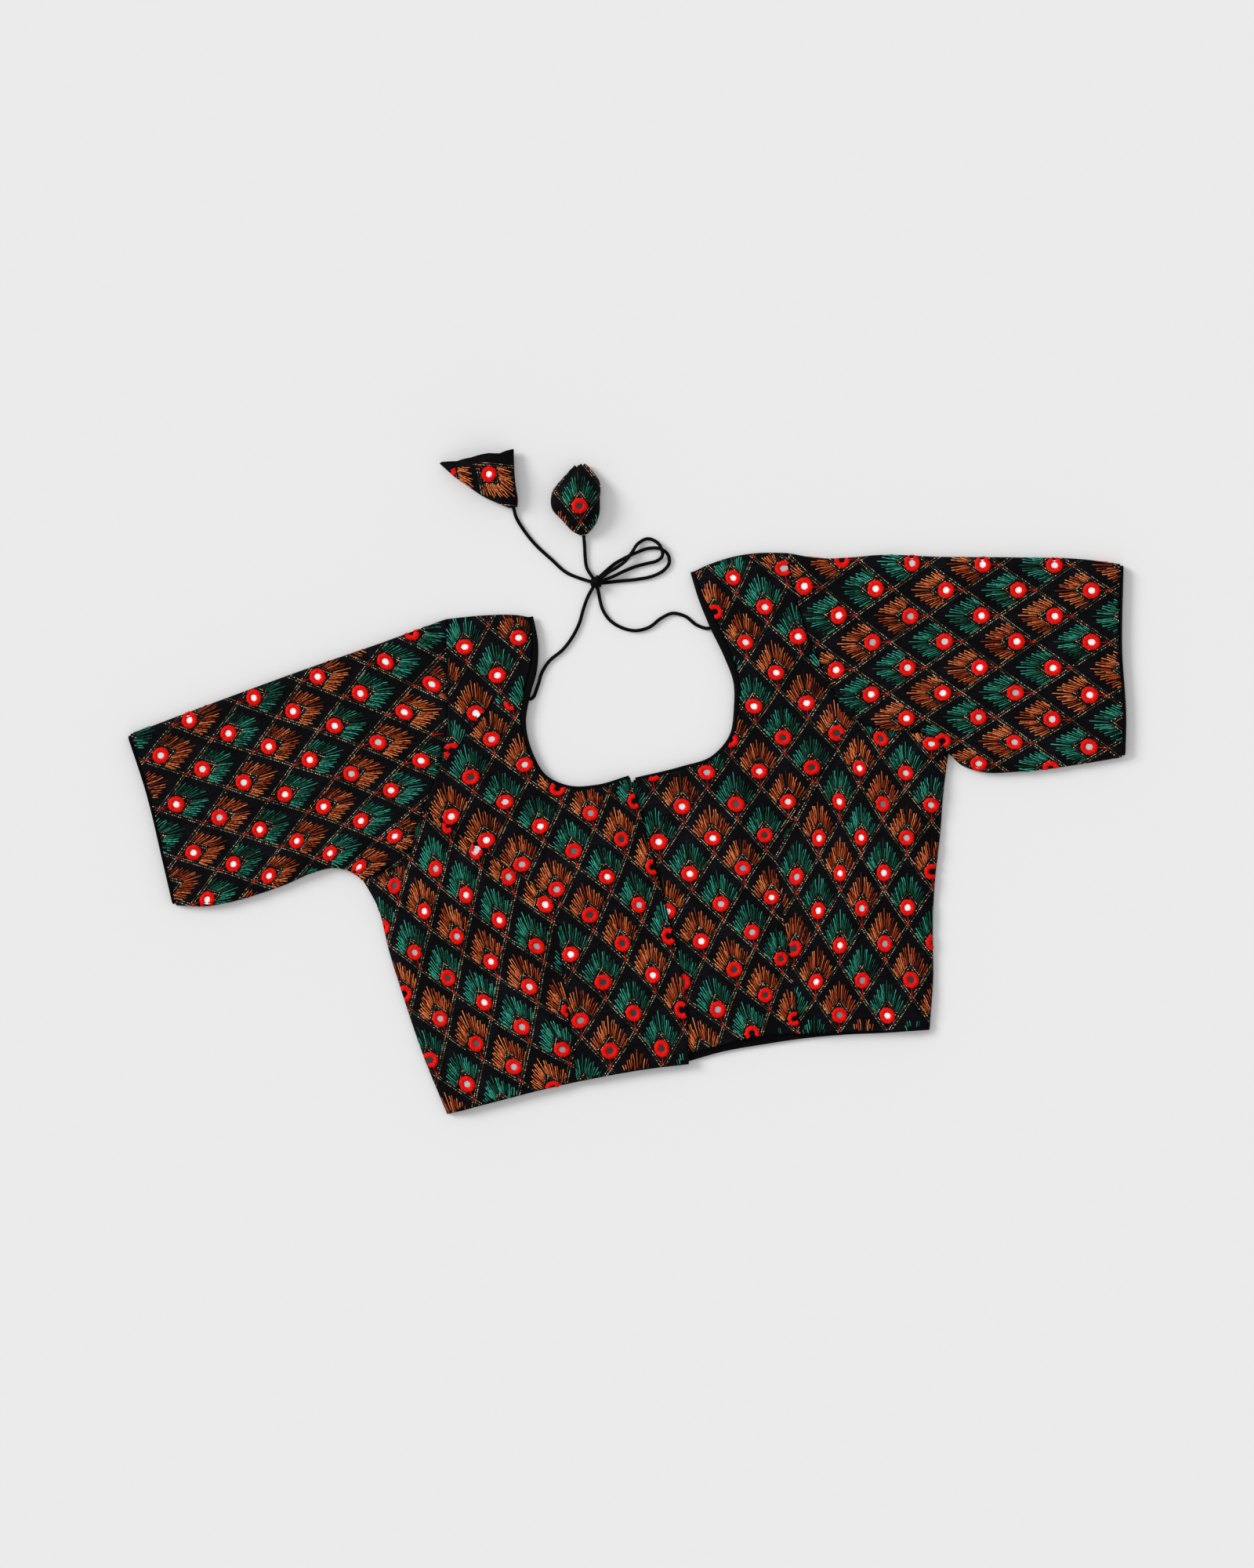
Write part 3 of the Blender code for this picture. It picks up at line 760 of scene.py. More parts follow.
@dataclass(frozen=True)
class Region:
    """A stretch of one cut piece between darts and seams, with the lattice of its mirrors in mm.

    glint is the share of its mirrors given a painted white reflection. cut is the stretch's plan. warp holds
    the mirror of column 0 and row 0, the steps to the right and to the left upwards, and how the steps
    change over the cloth.
    """

    name: str
    orange_first: bool
    painted_glint: float
    cut: tuple[Point, ...]
    warp: tuple[Point, ...]

    def place(self, steps: Array) -> Array:
        """Finds places on the plan.

        Args:
            steps: columns and rows.

        Returns:
            One place for each, in mm.
        """
        i, j = np.asarray(steps, float).T
        terms = np.stack([i**0, i, j, i * i, i * j, j * j, i**3, i * i * j, i * j * j, j**3], axis=1)
        return terms[:, : len(self.warp)] @ np.array(self.warp, float)

    def reached(self, cell: tuple[int, int]) -> bool:
        """Tells whether a diamond is whole and reaches the cut.

        Args:
            cell: its column and row.

        Returns:
            True if it does.
        """
        corners = [(0, 0), (-0.25, -0.25), (0.75, -0.25), (-0.25, 0.75), (0.75, 0.75), (0.5, 0.5)]
        cut = np.array(self.cut, float)
        centre, right, left = self.place(np.array(cell) + np.array([(0, 0), (0.5, 0), (0, 0.5)]))
        size = abs(4 * np.cross(right - centre, left - centre))
        places = self.place(np.array(cell) + np.array(corners))
        near = inside(places, cut).any() or away(places, closed(cut)).min() < CELL_REACH
        return CELL_AREAS[0] < size < CELL_AREAS[1] and near

    @cache
    def lattice(self, colour: int | None) -> Obj:
        """The diamonds' crossings as loose points.

        Args:
            colour: 0 for the first colour's columns, 1 for the second's, None for all.

        Returns:
            A hidden object.
        """
        parity = colour if colour is None or self.orange_first else 1 - colour
        waiting, seen, found = [(0, 0)], {(0, 0)}, []
        while waiting:
            cell = waiting.pop()
            if not self.reached(cell):
                continue
            found.append(cell)
            for step in ((1, 0), (-1, 0), (0, 1), (0, -1)):
                near = (cell[0] + step[0], cell[1] + step[1])
                if near not in seen:
                    seen.add(near)
                    waiting.append(near)
        places = [(i, j, 0.0) for i, j in sorted(found) if parity is None or i % 2 == parity]
        mesh = bpy.data.meshes.new(f"lattice_{self.name}_{parity}")
        mesh.from_pydata(places, [], [])
        return bpy.data.objects.new(mesh.name, mesh)

    @cache
    def mask(self) -> Obj:
        """The cut as a flat mask.

        Returns:
            A hidden object.
        """
        bm = bmesh.new()
        face = bm.faces.new([bm.verts.new((x * MM, y * MM, 0.0)) for x, y in self.cut])
        bmesh.ops.triangulate(bm, faces=[face])
        mesh = written(bm, bpy.data.meshes.new(f"cut_{self.name}"))
        return bpy.data.objects.new(mesh.name, mesh)


WARP = (
    "Start", "Step right", "Step left", "Bend RR", "Bend RL", "Bend LL",
    "Curl RRR", "Curl RRL", "Curl RLL", "Curl LLL",
)
INPUTS = {
    "Geometry": ("Geometry",),
    "Object": ("Cloth", "Chart", "Cut", "Crossings"),
    "Vector": WARP,
    "Int": ("Sides", "Seed"),
    "Float": ("Side", "Drift", "Jitter", "Flatness", "Size", "Spread", "Lay", "Glint"),
    "Material": ("Material",),
}


class StitchTree(Nodes):
    """A node tree that repeats a chart or a mirror over a region and lays it on the cloth."""

    def __init__(self, name: str, mirrors: bool) -> None:
        """Builds the tree.

        Args:
            name: the tree's name.
            mirrors: lay one disc on each crossing, in place of stitches.
        """
        super().__init__(bpy.data.node_groups.new(name, "GeometryNodeTree"))
        face = self.tree.interface
        self.sockets = {
            label: face.new_socket(label, in_out="INPUT", socket_type=f"NodeSocket{kind}").identifier
            for kind, labels in INPUTS.items()
            for label in labels
        }
        face.new_socket("Geometry", in_out="OUTPUT", socket_type="NodeSocketGeometry")
        self.source = self.add("NodeGroupInput")
        made = self.mirrors() if mirrors else self.stitches()
        solid = self.add("GeometryNodeRealizeInstances", {0: made})[0]
        soft = self.add("GeometryNodeSetShadeSmooth", {"Geometry": solid, "Shade Smooth": not mirrors})[0]
        painted = self.add("GeometryNodeSetMaterial", {0: soft, "Material": self.source["Material"]})[0]
        joined = self.add("GeometryNodeJoinGeometry", {0: [self.source["Geometry"], painted]})[0]
        self.add("NodeGroupOutput", {0: joined})

    def times(self, a: Any, b: Any) -> Any:
        """Returns the product of two numbers."""
        return self.maths("MULTIPLY", a, b)

    def vector(self, operation: str, a: Any, b: Any) -> Any:
        """Returns the result of an operation on two vectors."""
        return self.add("ShaderNodeVectorMath", {0: a, 1: b}, operation=operation)[0]

    def scaled(self, vector: Any, size: Any) -> Any:
        """Returns a vector times a number."""
        return self.add("ShaderNodeVectorMath", {0: vector, "Scale": size}, operation="SCALE")[0]

    def of(self, x: Any, y: Any, z: Any) -> Any:
        """Returns the vector of three numbers."""
        return self.add("ShaderNodeCombineXYZ", {0: x, 1: y, 2: z})[0]

    def split(self, vector: Any) -> Any:
        """Returns a vector's three numbers."""
        return self.add("ShaderNodeSeparateXYZ", {0: vector})

    def here(self) -> Any:
        """Returns each point's place."""
        return self.add("GeometryNodeInputPosition")[0]

    def geometry_of(self, label: str) -> Any:
        """Returns the geometry of the object that an input names."""
        return self.add("GeometryNodeObjectInfo", {"Object": self.source[label]})["Geometry"]

    def store(self, geometry: Any, label: str, value: Any, kind: str = "FLOAT", domain: str = "POINT") -> Any:
        """Returns the geometry with a named attribute stored on it."""
        inputs = {"Geometry": geometry, "Name": label, "Value": value}
        return self.add("GeometryNodeStoreNamedAttribute", inputs, data_type=kind, domain=domain)[0]

    def named(self, label: str, kind: str = "FLOAT") -> Any:
        """Returns a named attribute."""
        return self.add("GeometryNodeInputNamedAttribute", {"Name": label}, data_type=kind)[0]

    def chance(self, **number: Any) -> Any:
        """Returns a random number from 0 to 1, the same for the same ID."""
        inputs = {"Seed": self.source["Seed"], **number}
        return self.add("FunctionNodeRandomValue", inputs, data_type="FLOAT")[1]

    def ray(self, label: str, start: Any, direction: Any) -> Any:
        """Returns the outputs of a ray that looks for an input's object."""
        aim = {"Source Position": start, "Ray Direction": direction}
        return self.add("GeometryNodeRaycast", {"Target Geometry": self.geometry_of(label), **aim})

    def deleted(self, geometry: Any, kept: Any) -> Any:
        """Returns the geometry without the points where a number is 0."""
        inputs = {"Geometry": geometry, "Selection": self.maths("LESS_THAN", kept, 0.5)}
        return self.add("GeometryNodeDeleteGeometry", inputs)[0]

    def cylinder(self, radius: Any, depth: float) -> Any:
        """Returns an upright cylinder with the number of sides that is asked for."""
        inputs = {"Vertices": self.source["Sides"], "Radius": radius, "Depth": depth}
        return self.add("GeometryNodeMeshCylinder", inputs, fill_type="NGON")["Mesh"]

    def turned(self, run: Any, up: Any) -> Any:
        """Returns the turn that lays Z along one direction, and X towards another as far as it can."""
        first = self.add("FunctionNodeAlignRotationToVector", {"Vector": run}, axis="Z")[0]
        inputs = {"Rotation": first, "Vector": up}
        return self.add("FunctionNodeAlignRotationToVector", inputs, axis="X", pivot_axis="Z")[0]

    def plan(self) -> Any:
        """The place on the plan of a place on the lattice, with a hand's small unevenness.

        Returns:
            A vector.
        """
        i, j = self.split(self.here())[:2]
        squares = [self.times(a, b) for a, b in ((i, i), (i, j), (j, j))]
        cubes = [self.times(squares[k], step) for k, step in ((0, i), (0, j), (2, i), (2, j))]
        total = self.source[WARP[0]]
        for label, share in zip(WARP[1:], [i, j, *squares, *cubes]):
            total = self.vector("ADD", total, self.scaled(self.source[label], share))
        drift = self.source["Drift"]
        shift = self.vector("SUBTRACT", self.noise(total, 22.0, 1.5)["Color"], (0.5, 0.5, 0.5))
        limits = {"Seed": self.source["Seed"], "Min": (-1.0, -1.0, 0.0), "Max": (1.0, 1.0, 0.0)}
        slip = self.add("FunctionNodeRandomValue", limits, data_type="FLOAT_VECTOR")[0]
        wander = self.vector("MULTIPLY", shift, self.of(drift, drift, 0.0))
        moved = self.vector("ADD", wander, self.scaled(slip, self.source["Jitter"]))
        return self.vector("ADD", total, moved)

    def dropped(self, points: Any) -> Any:
        """Moves points from the lattice to the cloth, and drops those that miss it or its cut.

        Args:
            points: geometry with lattice places, whose height is the level over the cloth.

        Returns:
            The geometry on the cloth, with its normal stored as "up".
        """
        kept = self.store(points, "level", self.split(self.here())[2])
        flat = self.add("GeometryNodeSetPosition", {"Geometry": kept, "Position": self.plan()})[0]
        side = self.source["Side"]
        start = self.vector("ADD", self.here(), self.of(0.0, 0.0, side))
        down = self.of(0.0, 0.0, self.times(side, -1.0))
        cut, cloth = (self.ray(label, start, down) for label in ("Cut", "Cloth"))
        found = self.deleted(flat, self.times(cut["Is Hit"], cloth["Is Hit"]))
        normal = cloth["Hit Normal"]
        rise = self.scaled(normal, self.times(self.named("level"), MM))
        marked = self.store(found, "up", normal, "FLOAT_VECTOR")
        top = self.vector("ADD", cloth["Hit Position"], rise)
        return self.add("GeometryNodeSetPosition", {"Geometry": marked, "Position": top})[0]

    def lustre(self, run: Any) -> Any:
        """The shade of a stitch: partly its own, and partly painted sheen, set by the way that its floss is
        laid.

        Args:
            run: the stitch's direction.

        Returns:
            A number from about 0 to 1; the painted sheen makes it brightest on threads laid from lower right
            to upper left.
        """
        x, y = self.split(run)[:2]
        size = self.maths("ADD", self.times(x, x), self.times(y, y))
        slope = self.maths("DIVIDE", self.times(x, y), self.maths("ADD", size, 1e-12))
        row = self.times(self.named("cell"), 997.0)  # each diamond has its own row of random numbers
        own = self.chance(ID=self.maths("ADD", self.maths("ADD", row, 0.5), self.named("stitch")))
        total: Any = 0.5
        # painted sheen: the second part draws threads laid one way brighter than those laid the other, as the
        # light would
        for part in (
            self.times(self.maths("SUBTRACT", own, 0.5), self.source["Spread"]),
            self.times(slope, self.times(self.source["Lay"], -1.0)),
            self.named("tone"),
        ):
            total = self.maths("ADD", part, total)
        return total

    def stitches(self) -> Any:
        """The chart's stitches, each a strand of thread along its edge.

        Returns:
            Instances.
        """
        run = self.named("run", "FLOAT_VECTOR")
        crossings = self.store(self.geometry_of("Crossings"), "cell", self.add("GeometryNodeInputIndex")[0])
        each = {"Points": crossings, "Instance": self.geometry_of("Chart")}
        repeated = self.add("GeometryNodeInstanceOnPoints", each)[0]
        edges = self.dropped(self.add("GeometryNodeRealizeInstances", {0: repeated})[0])
        ends = self.add("GeometryNodeInputMeshEdgeVertices")
        span = self.vector("SUBTRACT", ends["Position 2"], ends["Position 1"])
        marked = self.store(edges, "run", span, "FLOAT_VECTOR", "EDGE")
        middles = self.add("GeometryNodeMeshToPoints", {"Mesh": marked}, mode="EDGES")[0]
        length = self.add("ShaderNodeVectorMath", {0: run}, operation="LENGTH")["Value"]
        width = self.times(self.named("width"), MM)
        inputs = {
            "Points": self.store(middles, "shade", self.lustre(run)),
            "Instance": self.cylinder(0.5, 1.0),
            "Rotation": self.turned(run, self.named("up", "FLOAT_VECTOR")),
            "Scale": self.of(self.times(width, self.source["Flatness"]), width, length),
        }
        return self.add("GeometryNodeInstanceOnPoints", inputs)[0]

    def mirrors(self) -> Any:
        """A glass disc on each crossing that has cloth all round it, a little tilted by the cloth.

        Returns:
            Instances.
        """
        points = self.dropped(self.geometry_of("Crossings"))
        tilt = self.split(self.named("up", "FLOAT_VECTOR"))[2]
        held = self.maths("GREATER_THAN", self.maths("ABSOLUTE", tilt), 0.8)
        side, here = self.source["Side"], self.here()
        down = self.of(0.0, 0.0, self.times(side, -1.0))
        for x, y in ((1.0, 0.0), (-1.0, 0.0), (0.0, 1.0), (0.0, -1.0)):
            reach = [self.times(self.source["Size"], 1.1 * v) for v in (x, y)]
            start = self.vector("ADD", here, self.of(*reach, side))
            for label in ("Cloth", "Cut"):
                held = self.times(held, self.ray(label, start, down)["Is Hit"])
        points = self.deleted(points, held)
        # painted reflection: a share of the discs, set by the region's glint, is drawn white and the rest
        # grey to dark
        painted_reflection = self.maths("SUBTRACT", self.maths("ADD", self.source["Glint"], 0.5), self.chance())
        inputs = {
            "Points": self.store(points, "shade", painted_reflection),
            "Instance": self.cylinder(self.source["Size"], 0.5 * MM),
            "Rotation": self.turned(self.named("up", "FLOAT_VECTOR"), (1.0, 0.0, 0.0)),
        }
        return self.add("GeometryNodeInstanceOnPoints", inputs)[0]


@dataclass(frozen=True)
class Chart:
    """One kind of stitching."""

    label: str
    finish: Finish
    drawing: str
    colour: int | None = None  # 0 for the first colour's columns of diamonds, 1 for the second's
    flatness: float = 0.75
    spread: float = 0.9  # how much the stitches' shades differ
    lay: float = 0.0  # painted sheen: how much of the shade comes from the way that the floss is laid
    jitter: float = 0.4  # mm that a needle misses by


CHARTS = (
    Chart("gilt_rows", Finish.GILT, "rows", jitter=0.06),
    Chart("orange_fans", Finish.ORANGE, "fan", 0, lay=0.55),
    Chart("green_fans", Finish.GREEN, "fan", 1, lay=0.55),
    Chart("red_rings", Finish.RED, "ring", flatness=0.5, spread=0.3, lay=0.1, jitter=0.25),
)


@dataclass
class Embroiderer:
    """Stitches the diamonds on finished cloth."""

    drift: float = 2.4  # mm that the whole hand wanders by
    mirror_size: float = 3.75
    mirror_sides: int = 16
    strand_sides: int = 4
    flat_under: float = 0.4  # flatness of the stitches that the blouse lies on
    first_seed: int = 3
    spare: tuple[str, ...] = ("up", "run", "level", "width", "tone", "stitch", "cell")
    trees: dict[bool, StitchTree] = field(default_factory=dict)
    drawn: dict[tuple[str, Side], Obj] = field(default_factory=dict)

    def __post_init__(self) -> None:
        """Builds the trees and draws the charts."""
        self.trees = {False: StitchTree("stitches", False), True: StitchTree("mirrors", True)}
        plain = Motif(
            2.6, dot=2.2, dot_width=1.0, spikes=5, fills=3, spike_width=1.3, ring_stitches=18, lift=0.35
        )
        for side, motif in ((Side.TOP, Motif()), (Side.UNDER, plain)):
            for label, stitches in (("rows", motif.borders()), ("fan", motif.fan()), ("ring", motif.ring())):
                self.drawn[label, side] = motif.chart(f"chart_{label}_{side.name}", stitches)

    def lay(self, piece: Obj, cloth: Obj, region: Region, side: Side, chart: Chart | None) -> None:
        """Adds a region's stitching to a piece.

        Args:
            piece: the piece that gathers the stitching.
            cloth: the cloth.
            region: where on the cloth.
            side: the cloth's side.
            chart: the kind of stitching, None for the mirrors.
        """
        if chart:
            own = {
                "Chart": self.drawn[chart.drawing, side],
                "Sides": self.strand_sides,
                "Flatness": chart.flatness if side is Side.TOP else self.flat_under,
                "Spread": chart.spread,
                "Lay": chart.lay,
                "Jitter": chart.jitter * MM,
                "Material": chart.finish.material(),
            }
        else:
            own = {"Sides": self.mirror_sides, "Size": self.mirror_size * MM, "Glint": region.painted_glint}
            own |= {"Jitter": 0.0, "Material": Finish.MIRROR.material()}
        values = {
            "Cloth": cloth,
            "Cut": region.mask(),
            "Crossings": region.lattice(chart.colour if chart else None),
            "Side": side.value,
            "Drift": self.drift * MM,
            "Seed": len(piece.modifiers) + self.first_seed,
            **own,
        }
        for label, step in zip(WARP, [*region.warp, *[(0, 0)] * len(WARP)]):
            values[label] = (step[0] * MM, step[1] * MM, 0.0)
        modifier = piece.modifiers.new(f"{region.name}_{side.name}", "NODES")
        tree = self.trees[chart is None]
        modifier.node_group = tree.tree
        for label, value in values.items():
            modifier[tree.sockets[label]] = value

    def dress(self, name: str, cloth: Obj, regions: Sequence[Region], sides: Sequence[Side]) -> list[Obj]:
        """Embroiders one cloth.

        Args:
            name: the cloth's name.
            cloth: the cloth.
            regions: the regions to be stitched.
            sides: the sides of the cloth.

        Returns:
            The pieces of stitching.
        """
        pieces = []
        for chart in (*CHARTS, None):
            label = chart.label if chart else "mirrors"
            piece = placed(f"{name}_{label}", bpy.data.meshes.new(label))
            for region in regions:
                for side in sides:
                    self.lay(piece, cloth, region, side, chart)
            pieces.append(piece)
        kept = []
        for piece in pieces:
            settled(piece)
            if not piece.data.polygons:  # no stitch of this chart meets the cloth
                bpy.data.objects.remove(piece)
                continue
            for label in self.spare:
                found = piece.data.attributes.get(label)
                if found:
                    piece.data.attributes.remove(found)
            kept.append(part_of(piece, "embroidered_silk"))
        return kept


# Cloth


@dataclass(frozen=True)
class Crease:
    """A soft fold of the cloth: its line in plan, its half width and its height, below zero for a trough."""

    x0: float
    y0: float
    x1: float
    y1: float
    width: float
    height: float

    def lift(self, points: Array) -> Array:
        """How far the fold lifts the cloth.

        Args:
            points: places in plan.

        Returns:
            One height for each place.
        """
        start, run = np.array([self.x0, self.y0]), np.array([self.x1 - self.x0, self.y1 - self.y0])
        t = np.clip((points - start) @ run / (run @ run), 0, 1)
        across = np.linalg.norm(points - start - t[:, None] * run, axis=1)
        return self.height * np.exp(-((across / self.width) ** 2)) * (0.4 + 0.6 * np.sin(math.pi * t))


def heights(points: Array, node: str, side: Side) -> Array:
    """Finds a solid's upper or lower surface.

    Args:
        points: places in plan.
        node: the solid's node.
        side: which surface.

    Returns:
        One height in mm for each place, not a number where the solid is missed.
    """
    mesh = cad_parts[node].data
    mesh.calc_loop_triangles()
    corners = [v.co / MM for v in mesh.vertices]
    solid = BVHTree.FromPolygons(corners, [tuple(t.vertices) for t in mesh.loop_triangles])
    found = np.full(len(points), np.nan)
    for k, (x, y) in enumerate(points):
        hit = solid.ray_cast(Vector((x, y, 100.0 * side.value)), Vector((0, 0, -side.value)))
        if hit[0] is not None:
            found[k] = hit[0].z
    return found


@dataclass
class Cloth:
    """A cut piece of cloth that lies in the space of its solid."""

    node: str
    finish: Finish = Finish.GROUND
    slot: str = "embroidered_silk"
    step: float = 4.2
    wall: float = 1.0
    creases: tuple[Crease, ...] = ()
    uneven: float = 0.35
    corners: tuple[Point, ...] = ()  # corners of the cut that the solid leaves off
    floor: float = 0.6  # nothing of the cloth lies lower, which leaves room for the stitches below it
    fade: float = 6.0  # how far from an edge the creases reach their full height
    insets: tuple[float, ...] = (1.4, 3.2)  # the net's rows inside its edge

    def rim(self) -> Array:
        """The upper edge of a lying solid.

        Returns:
            A ring of points in mm, counter-clockwise.
        """
        bm = bmesh.new()
        bm.from_mesh(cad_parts[self.node].data)
        bmesh.ops.remove_doubles(bm, verts=bm.verts, dist=1e-6)
        bm.normal_update()
        following: dict[int, list[int]] = {}
        places = {v.index: np.array(v.co) / MM for v in bm.verts}
        for edge in bm.edges:
            tilts = sorted(f.normal.z for f in edge.link_faces)
            if len(tilts) == 2 and tilts[0] < 0.15 < tilts[1]:
                a, b = (v.index for v in edge.verts)
                following.setdefault(a, []).append(b)
                following.setdefault(b, []).append(a)
        bm.free()
        first = next(iter(following))
        ring, last, here = [first], first, following[first][0]
        while here != first:
            ring.append(here)
            here, last = next(k for k in following[here] if k != last), here
        points = np.array([places[k] for k in ring])
        for corner in self.corners:
            far = np.linalg.norm(points[:, :2] - corner, axis=1)
            span = np.linalg.norm(points[:, :2] - np.roll(points[:, :2], -1, axis=0), axis=1)
            k = int(np.argmin(far + np.roll(far, -1) - span))
            points = np.insert(points, k + 1, (*corner, points[k, 2]), axis=0)
        return points if turns_left(points) else points[::-1]

    def net(self, outline: Array) -> tuple[Array, list[list[int]]]:
        """Fills an outline with an even net.

        Args:
            outline: a ring in plan.

        Returns:
            The net's places, the outline first, and its faces.
        """
        low, high = outline.min(axis=0), outline.max(axis=0)
        rows = np.arange(low[1], high[1], self.step * math.sqrt(3) / 2)
        across = np.arange(low[0], high[0], self.step)
        grid = np.array([(x + (k % 2) * self.step / 2, y) for k, y in enumerate(rows) for x in across])
        ring = closed(outline)
        clear = inside(grid, outline)
        clear[clear] &= away(grid[clear], ring) > max(self.insets) + 0.6 * self.step
        parts = [outline]
        for inset in self.insets:
            row = offset(ring, inset)[:-1]
            parts.append(row[inside(row, outline) & (away(row, ring) > 0.9 * inset)])
        points = np.concatenate([*parts, grid[clear]])
        found = delaunay_2d_cdt([tuple(p) for p in points], [], [list(range(len(outline)))], 1, 0.001)
        return np.array([tuple(p) for p in found[0]]), [list(f) for f in found[2]]

    def eased(self, z: Array, faces: Sequence[Sequence[int]], fixed: int, rounds: int = 10) -> Array:
        """Smooths heights over a net.

        Args:
            z: the heights.
            faces: the net's faces.
            fixed: how many of the first points stay.
            rounds: how often it is smoothed.

        Returns:
            The smoothed heights.
        """
        pairs = np.array([(f[k], f[(k + 1) % len(f)]) for f in faces for k in range(len(f))])
        a, b = np.concatenate([pairs, pairs[:, ::-1]]).T
        count = np.maximum(np.bincount(a, minlength=len(z)), 1)
        for _ in range(rounds):
            mean = np.bincount(a, weights=z[b], minlength=len(z)) / count
            z[fixed:] = 0.4 * z[fixed:] + 0.6 * mean[fixed:]
        return z

    def relief(self, points: Array) -> Array:
        """The fine creases and unevenness of the cloth.

        Args:
            points: places in plan.

        Returns:
            One height for each place.
        """
        total = self.uneven * (cloud(points, 34.0, 1.7) + 0.5 * cloud(points, 15.0, 6.1))
        for crease in self.creases:
            total += crease.lift(points)
        return total

    def thickened(self, mesh: Mesh) -> Obj:
        """Gives a surface the cloth's thickness.

        Args:
            mesh: the outer surface.

        Returns:
            The finished cloth.
        """
        obj = placed(f"{self.node}_cloth", mesh, self.finish.material())
        shell = obj.modifiers.new("wall", "SOLIDIFY")
        shell.thickness = self.wall * MM
        shell.offset = -1
        shell.use_quality_normals = True
        return part_of(settled(obj), self.slot, self.node)

    def build(self) -> Obj:
        """Builds the cloth over its solid.

        Returns:
            The cloth.
        """
        rim = self.rim()
        outline = rounded(rim, self.step)[:, :2]
        points, faces = self.net(outline)
        z = heights(points, self.node, Side.TOP)
        ring = closed(rim)
        for k in np.flatnonzero(np.isnan(z) | (np.arange(len(z)) < len(outline))):
            nearest = np.linalg.norm(ring[:, :2] - points[k], axis=1).argsort()[:2]
            near = np.linalg.norm(ring[nearest, :2] - points[k], axis=1) + 1e-6
            z[k] = (ring[nearest, 2] / near).sum() / (1 / near).sum()
        z = self.eased(z, faces, len(outline))
        z += self.relief(points) * np.clip(away(points, closed(outline)) / self.fade, 0, 1)
        z = np.maximum(z, self.floor + self.wall)
        return self.thickened(grown_mesh(self.node, np.column_stack([points, z]), faces))


@dataclass
class Sleeve(Cloth):
    """A sleeve laid flat: two layers of one cloth, folded at its edges and open at both ends."""

    insets: tuple[float, ...] = (0.35, 1.2, 2.4)
    armhole: Route = ()
    cuff: Route = ()
    low: Route = ()
    high: Route = ()
    height: float = 6.8
    armhole_gap: float = -0.5  # tucked under the front's edge, so that no floor shows at the seam
    cuff_inset: float = 2.3
    seam_dip: float = 1.2  # how far the cloth is drawn in at the armhole's seam
    seam_width: float = 1.5
    raised: float = 0.25  # how far its folds lie over half its height
    under_relief: float = 0.25  # the lower layer's share of the creases
    turn: int = 1

    def edges(self) -> list[Array]:
        """The sleeve's four edges in plan.

        Returns:
            Armhole, upper fold, cuff and lower fold, each starting where the one before ends.
        """
        start = offset(smooth(self.armhole, 3.0), self.turn * self.armhole_gap)
        end = offset(smooth(self.cuff, 3.0), -self.turn * self.cuff_inset)
        low, high = smooth(self.low, 3.0), smooth(self.high, 3.0)
        for fold, k in ((low, 0), (high, -1)):
            fold[0], fold[-1] = start[k], end[k]
        return [start, high, end[::-1], low[::-1]]

    def build(self) -> Obj:
        """Builds the sleeve.

        Returns:
            The sleeve.
        """
        edges = self.edges()
        outline = np.concatenate([edge[:-1] for edge in edges])
        if not turns_left(outline):
            outline = outline[::-1]
        radius = self.height / 2
        points, faces = self.net(outline)
        near = np.min([away(points, line) for line in edges[1::2]], axis=0)
        roll = np.sqrt(1 - (1 - np.clip(near / radius, 0, 1)) ** 2)
        ends = np.clip(np.min([away(points, line) for line in edges[::2]], axis=0) / self.fade, 0, 1)
        middle = radius + self.raised
        seam = self.seam_dip * np.exp(-((away(points, edges[0]) / self.seam_width) ** 2))
        layers = []
        for side in Side:
            top = side is Side.TOP
            z = heights(points, self.node, side)
            z = np.where(np.isnan(z) | (near < radius), self.height if top else 0.0, z)
            z = self.eased(z, faces, 0, 6)
            bumps = (1.0 if top else self.under_relief) * self.relief(points)
            z = middle + (z + bumps * ends * roll - seam * side.value - middle) * roll
            layers.append(z if top else np.maximum(z, self.floor))
        both = np.concatenate([np.column_stack([points, z]) for z in layers])
        under = [[k + len(points) for k in face[::-1]] for face in faces]
        bm = bmesh.new()
        bm.from_mesh(grown_mesh(self.node, both, [*faces, *under]))
        bmesh.ops.remove_doubles(bm, verts=bm.verts, dist=0.08 * MM)
        mesh = written(bm, bpy.data.meshes.new(self.node))
        mesh.shade_smooth()
        return self.thickened(mesh)


# Trims, ties and tassels


def tube_faces(count: int, sides: int, ring: bool) -> list[list[int]]:
    """The faces between a tube's rows of points.

    Args:
        count: how many rows.
        sides: points in a row.
        ring: the last row meets the first.

    Returns:
        The faces.
    """
    faces = []
    for k in range(count if ring else count - 1):
        n = (k + 1) % count
        for i in range(sides):
            j = (i + 1) % sides
            faces.append([k * sides + i, k * sides + j, n * sides + j, n * sides + i])
    return faces


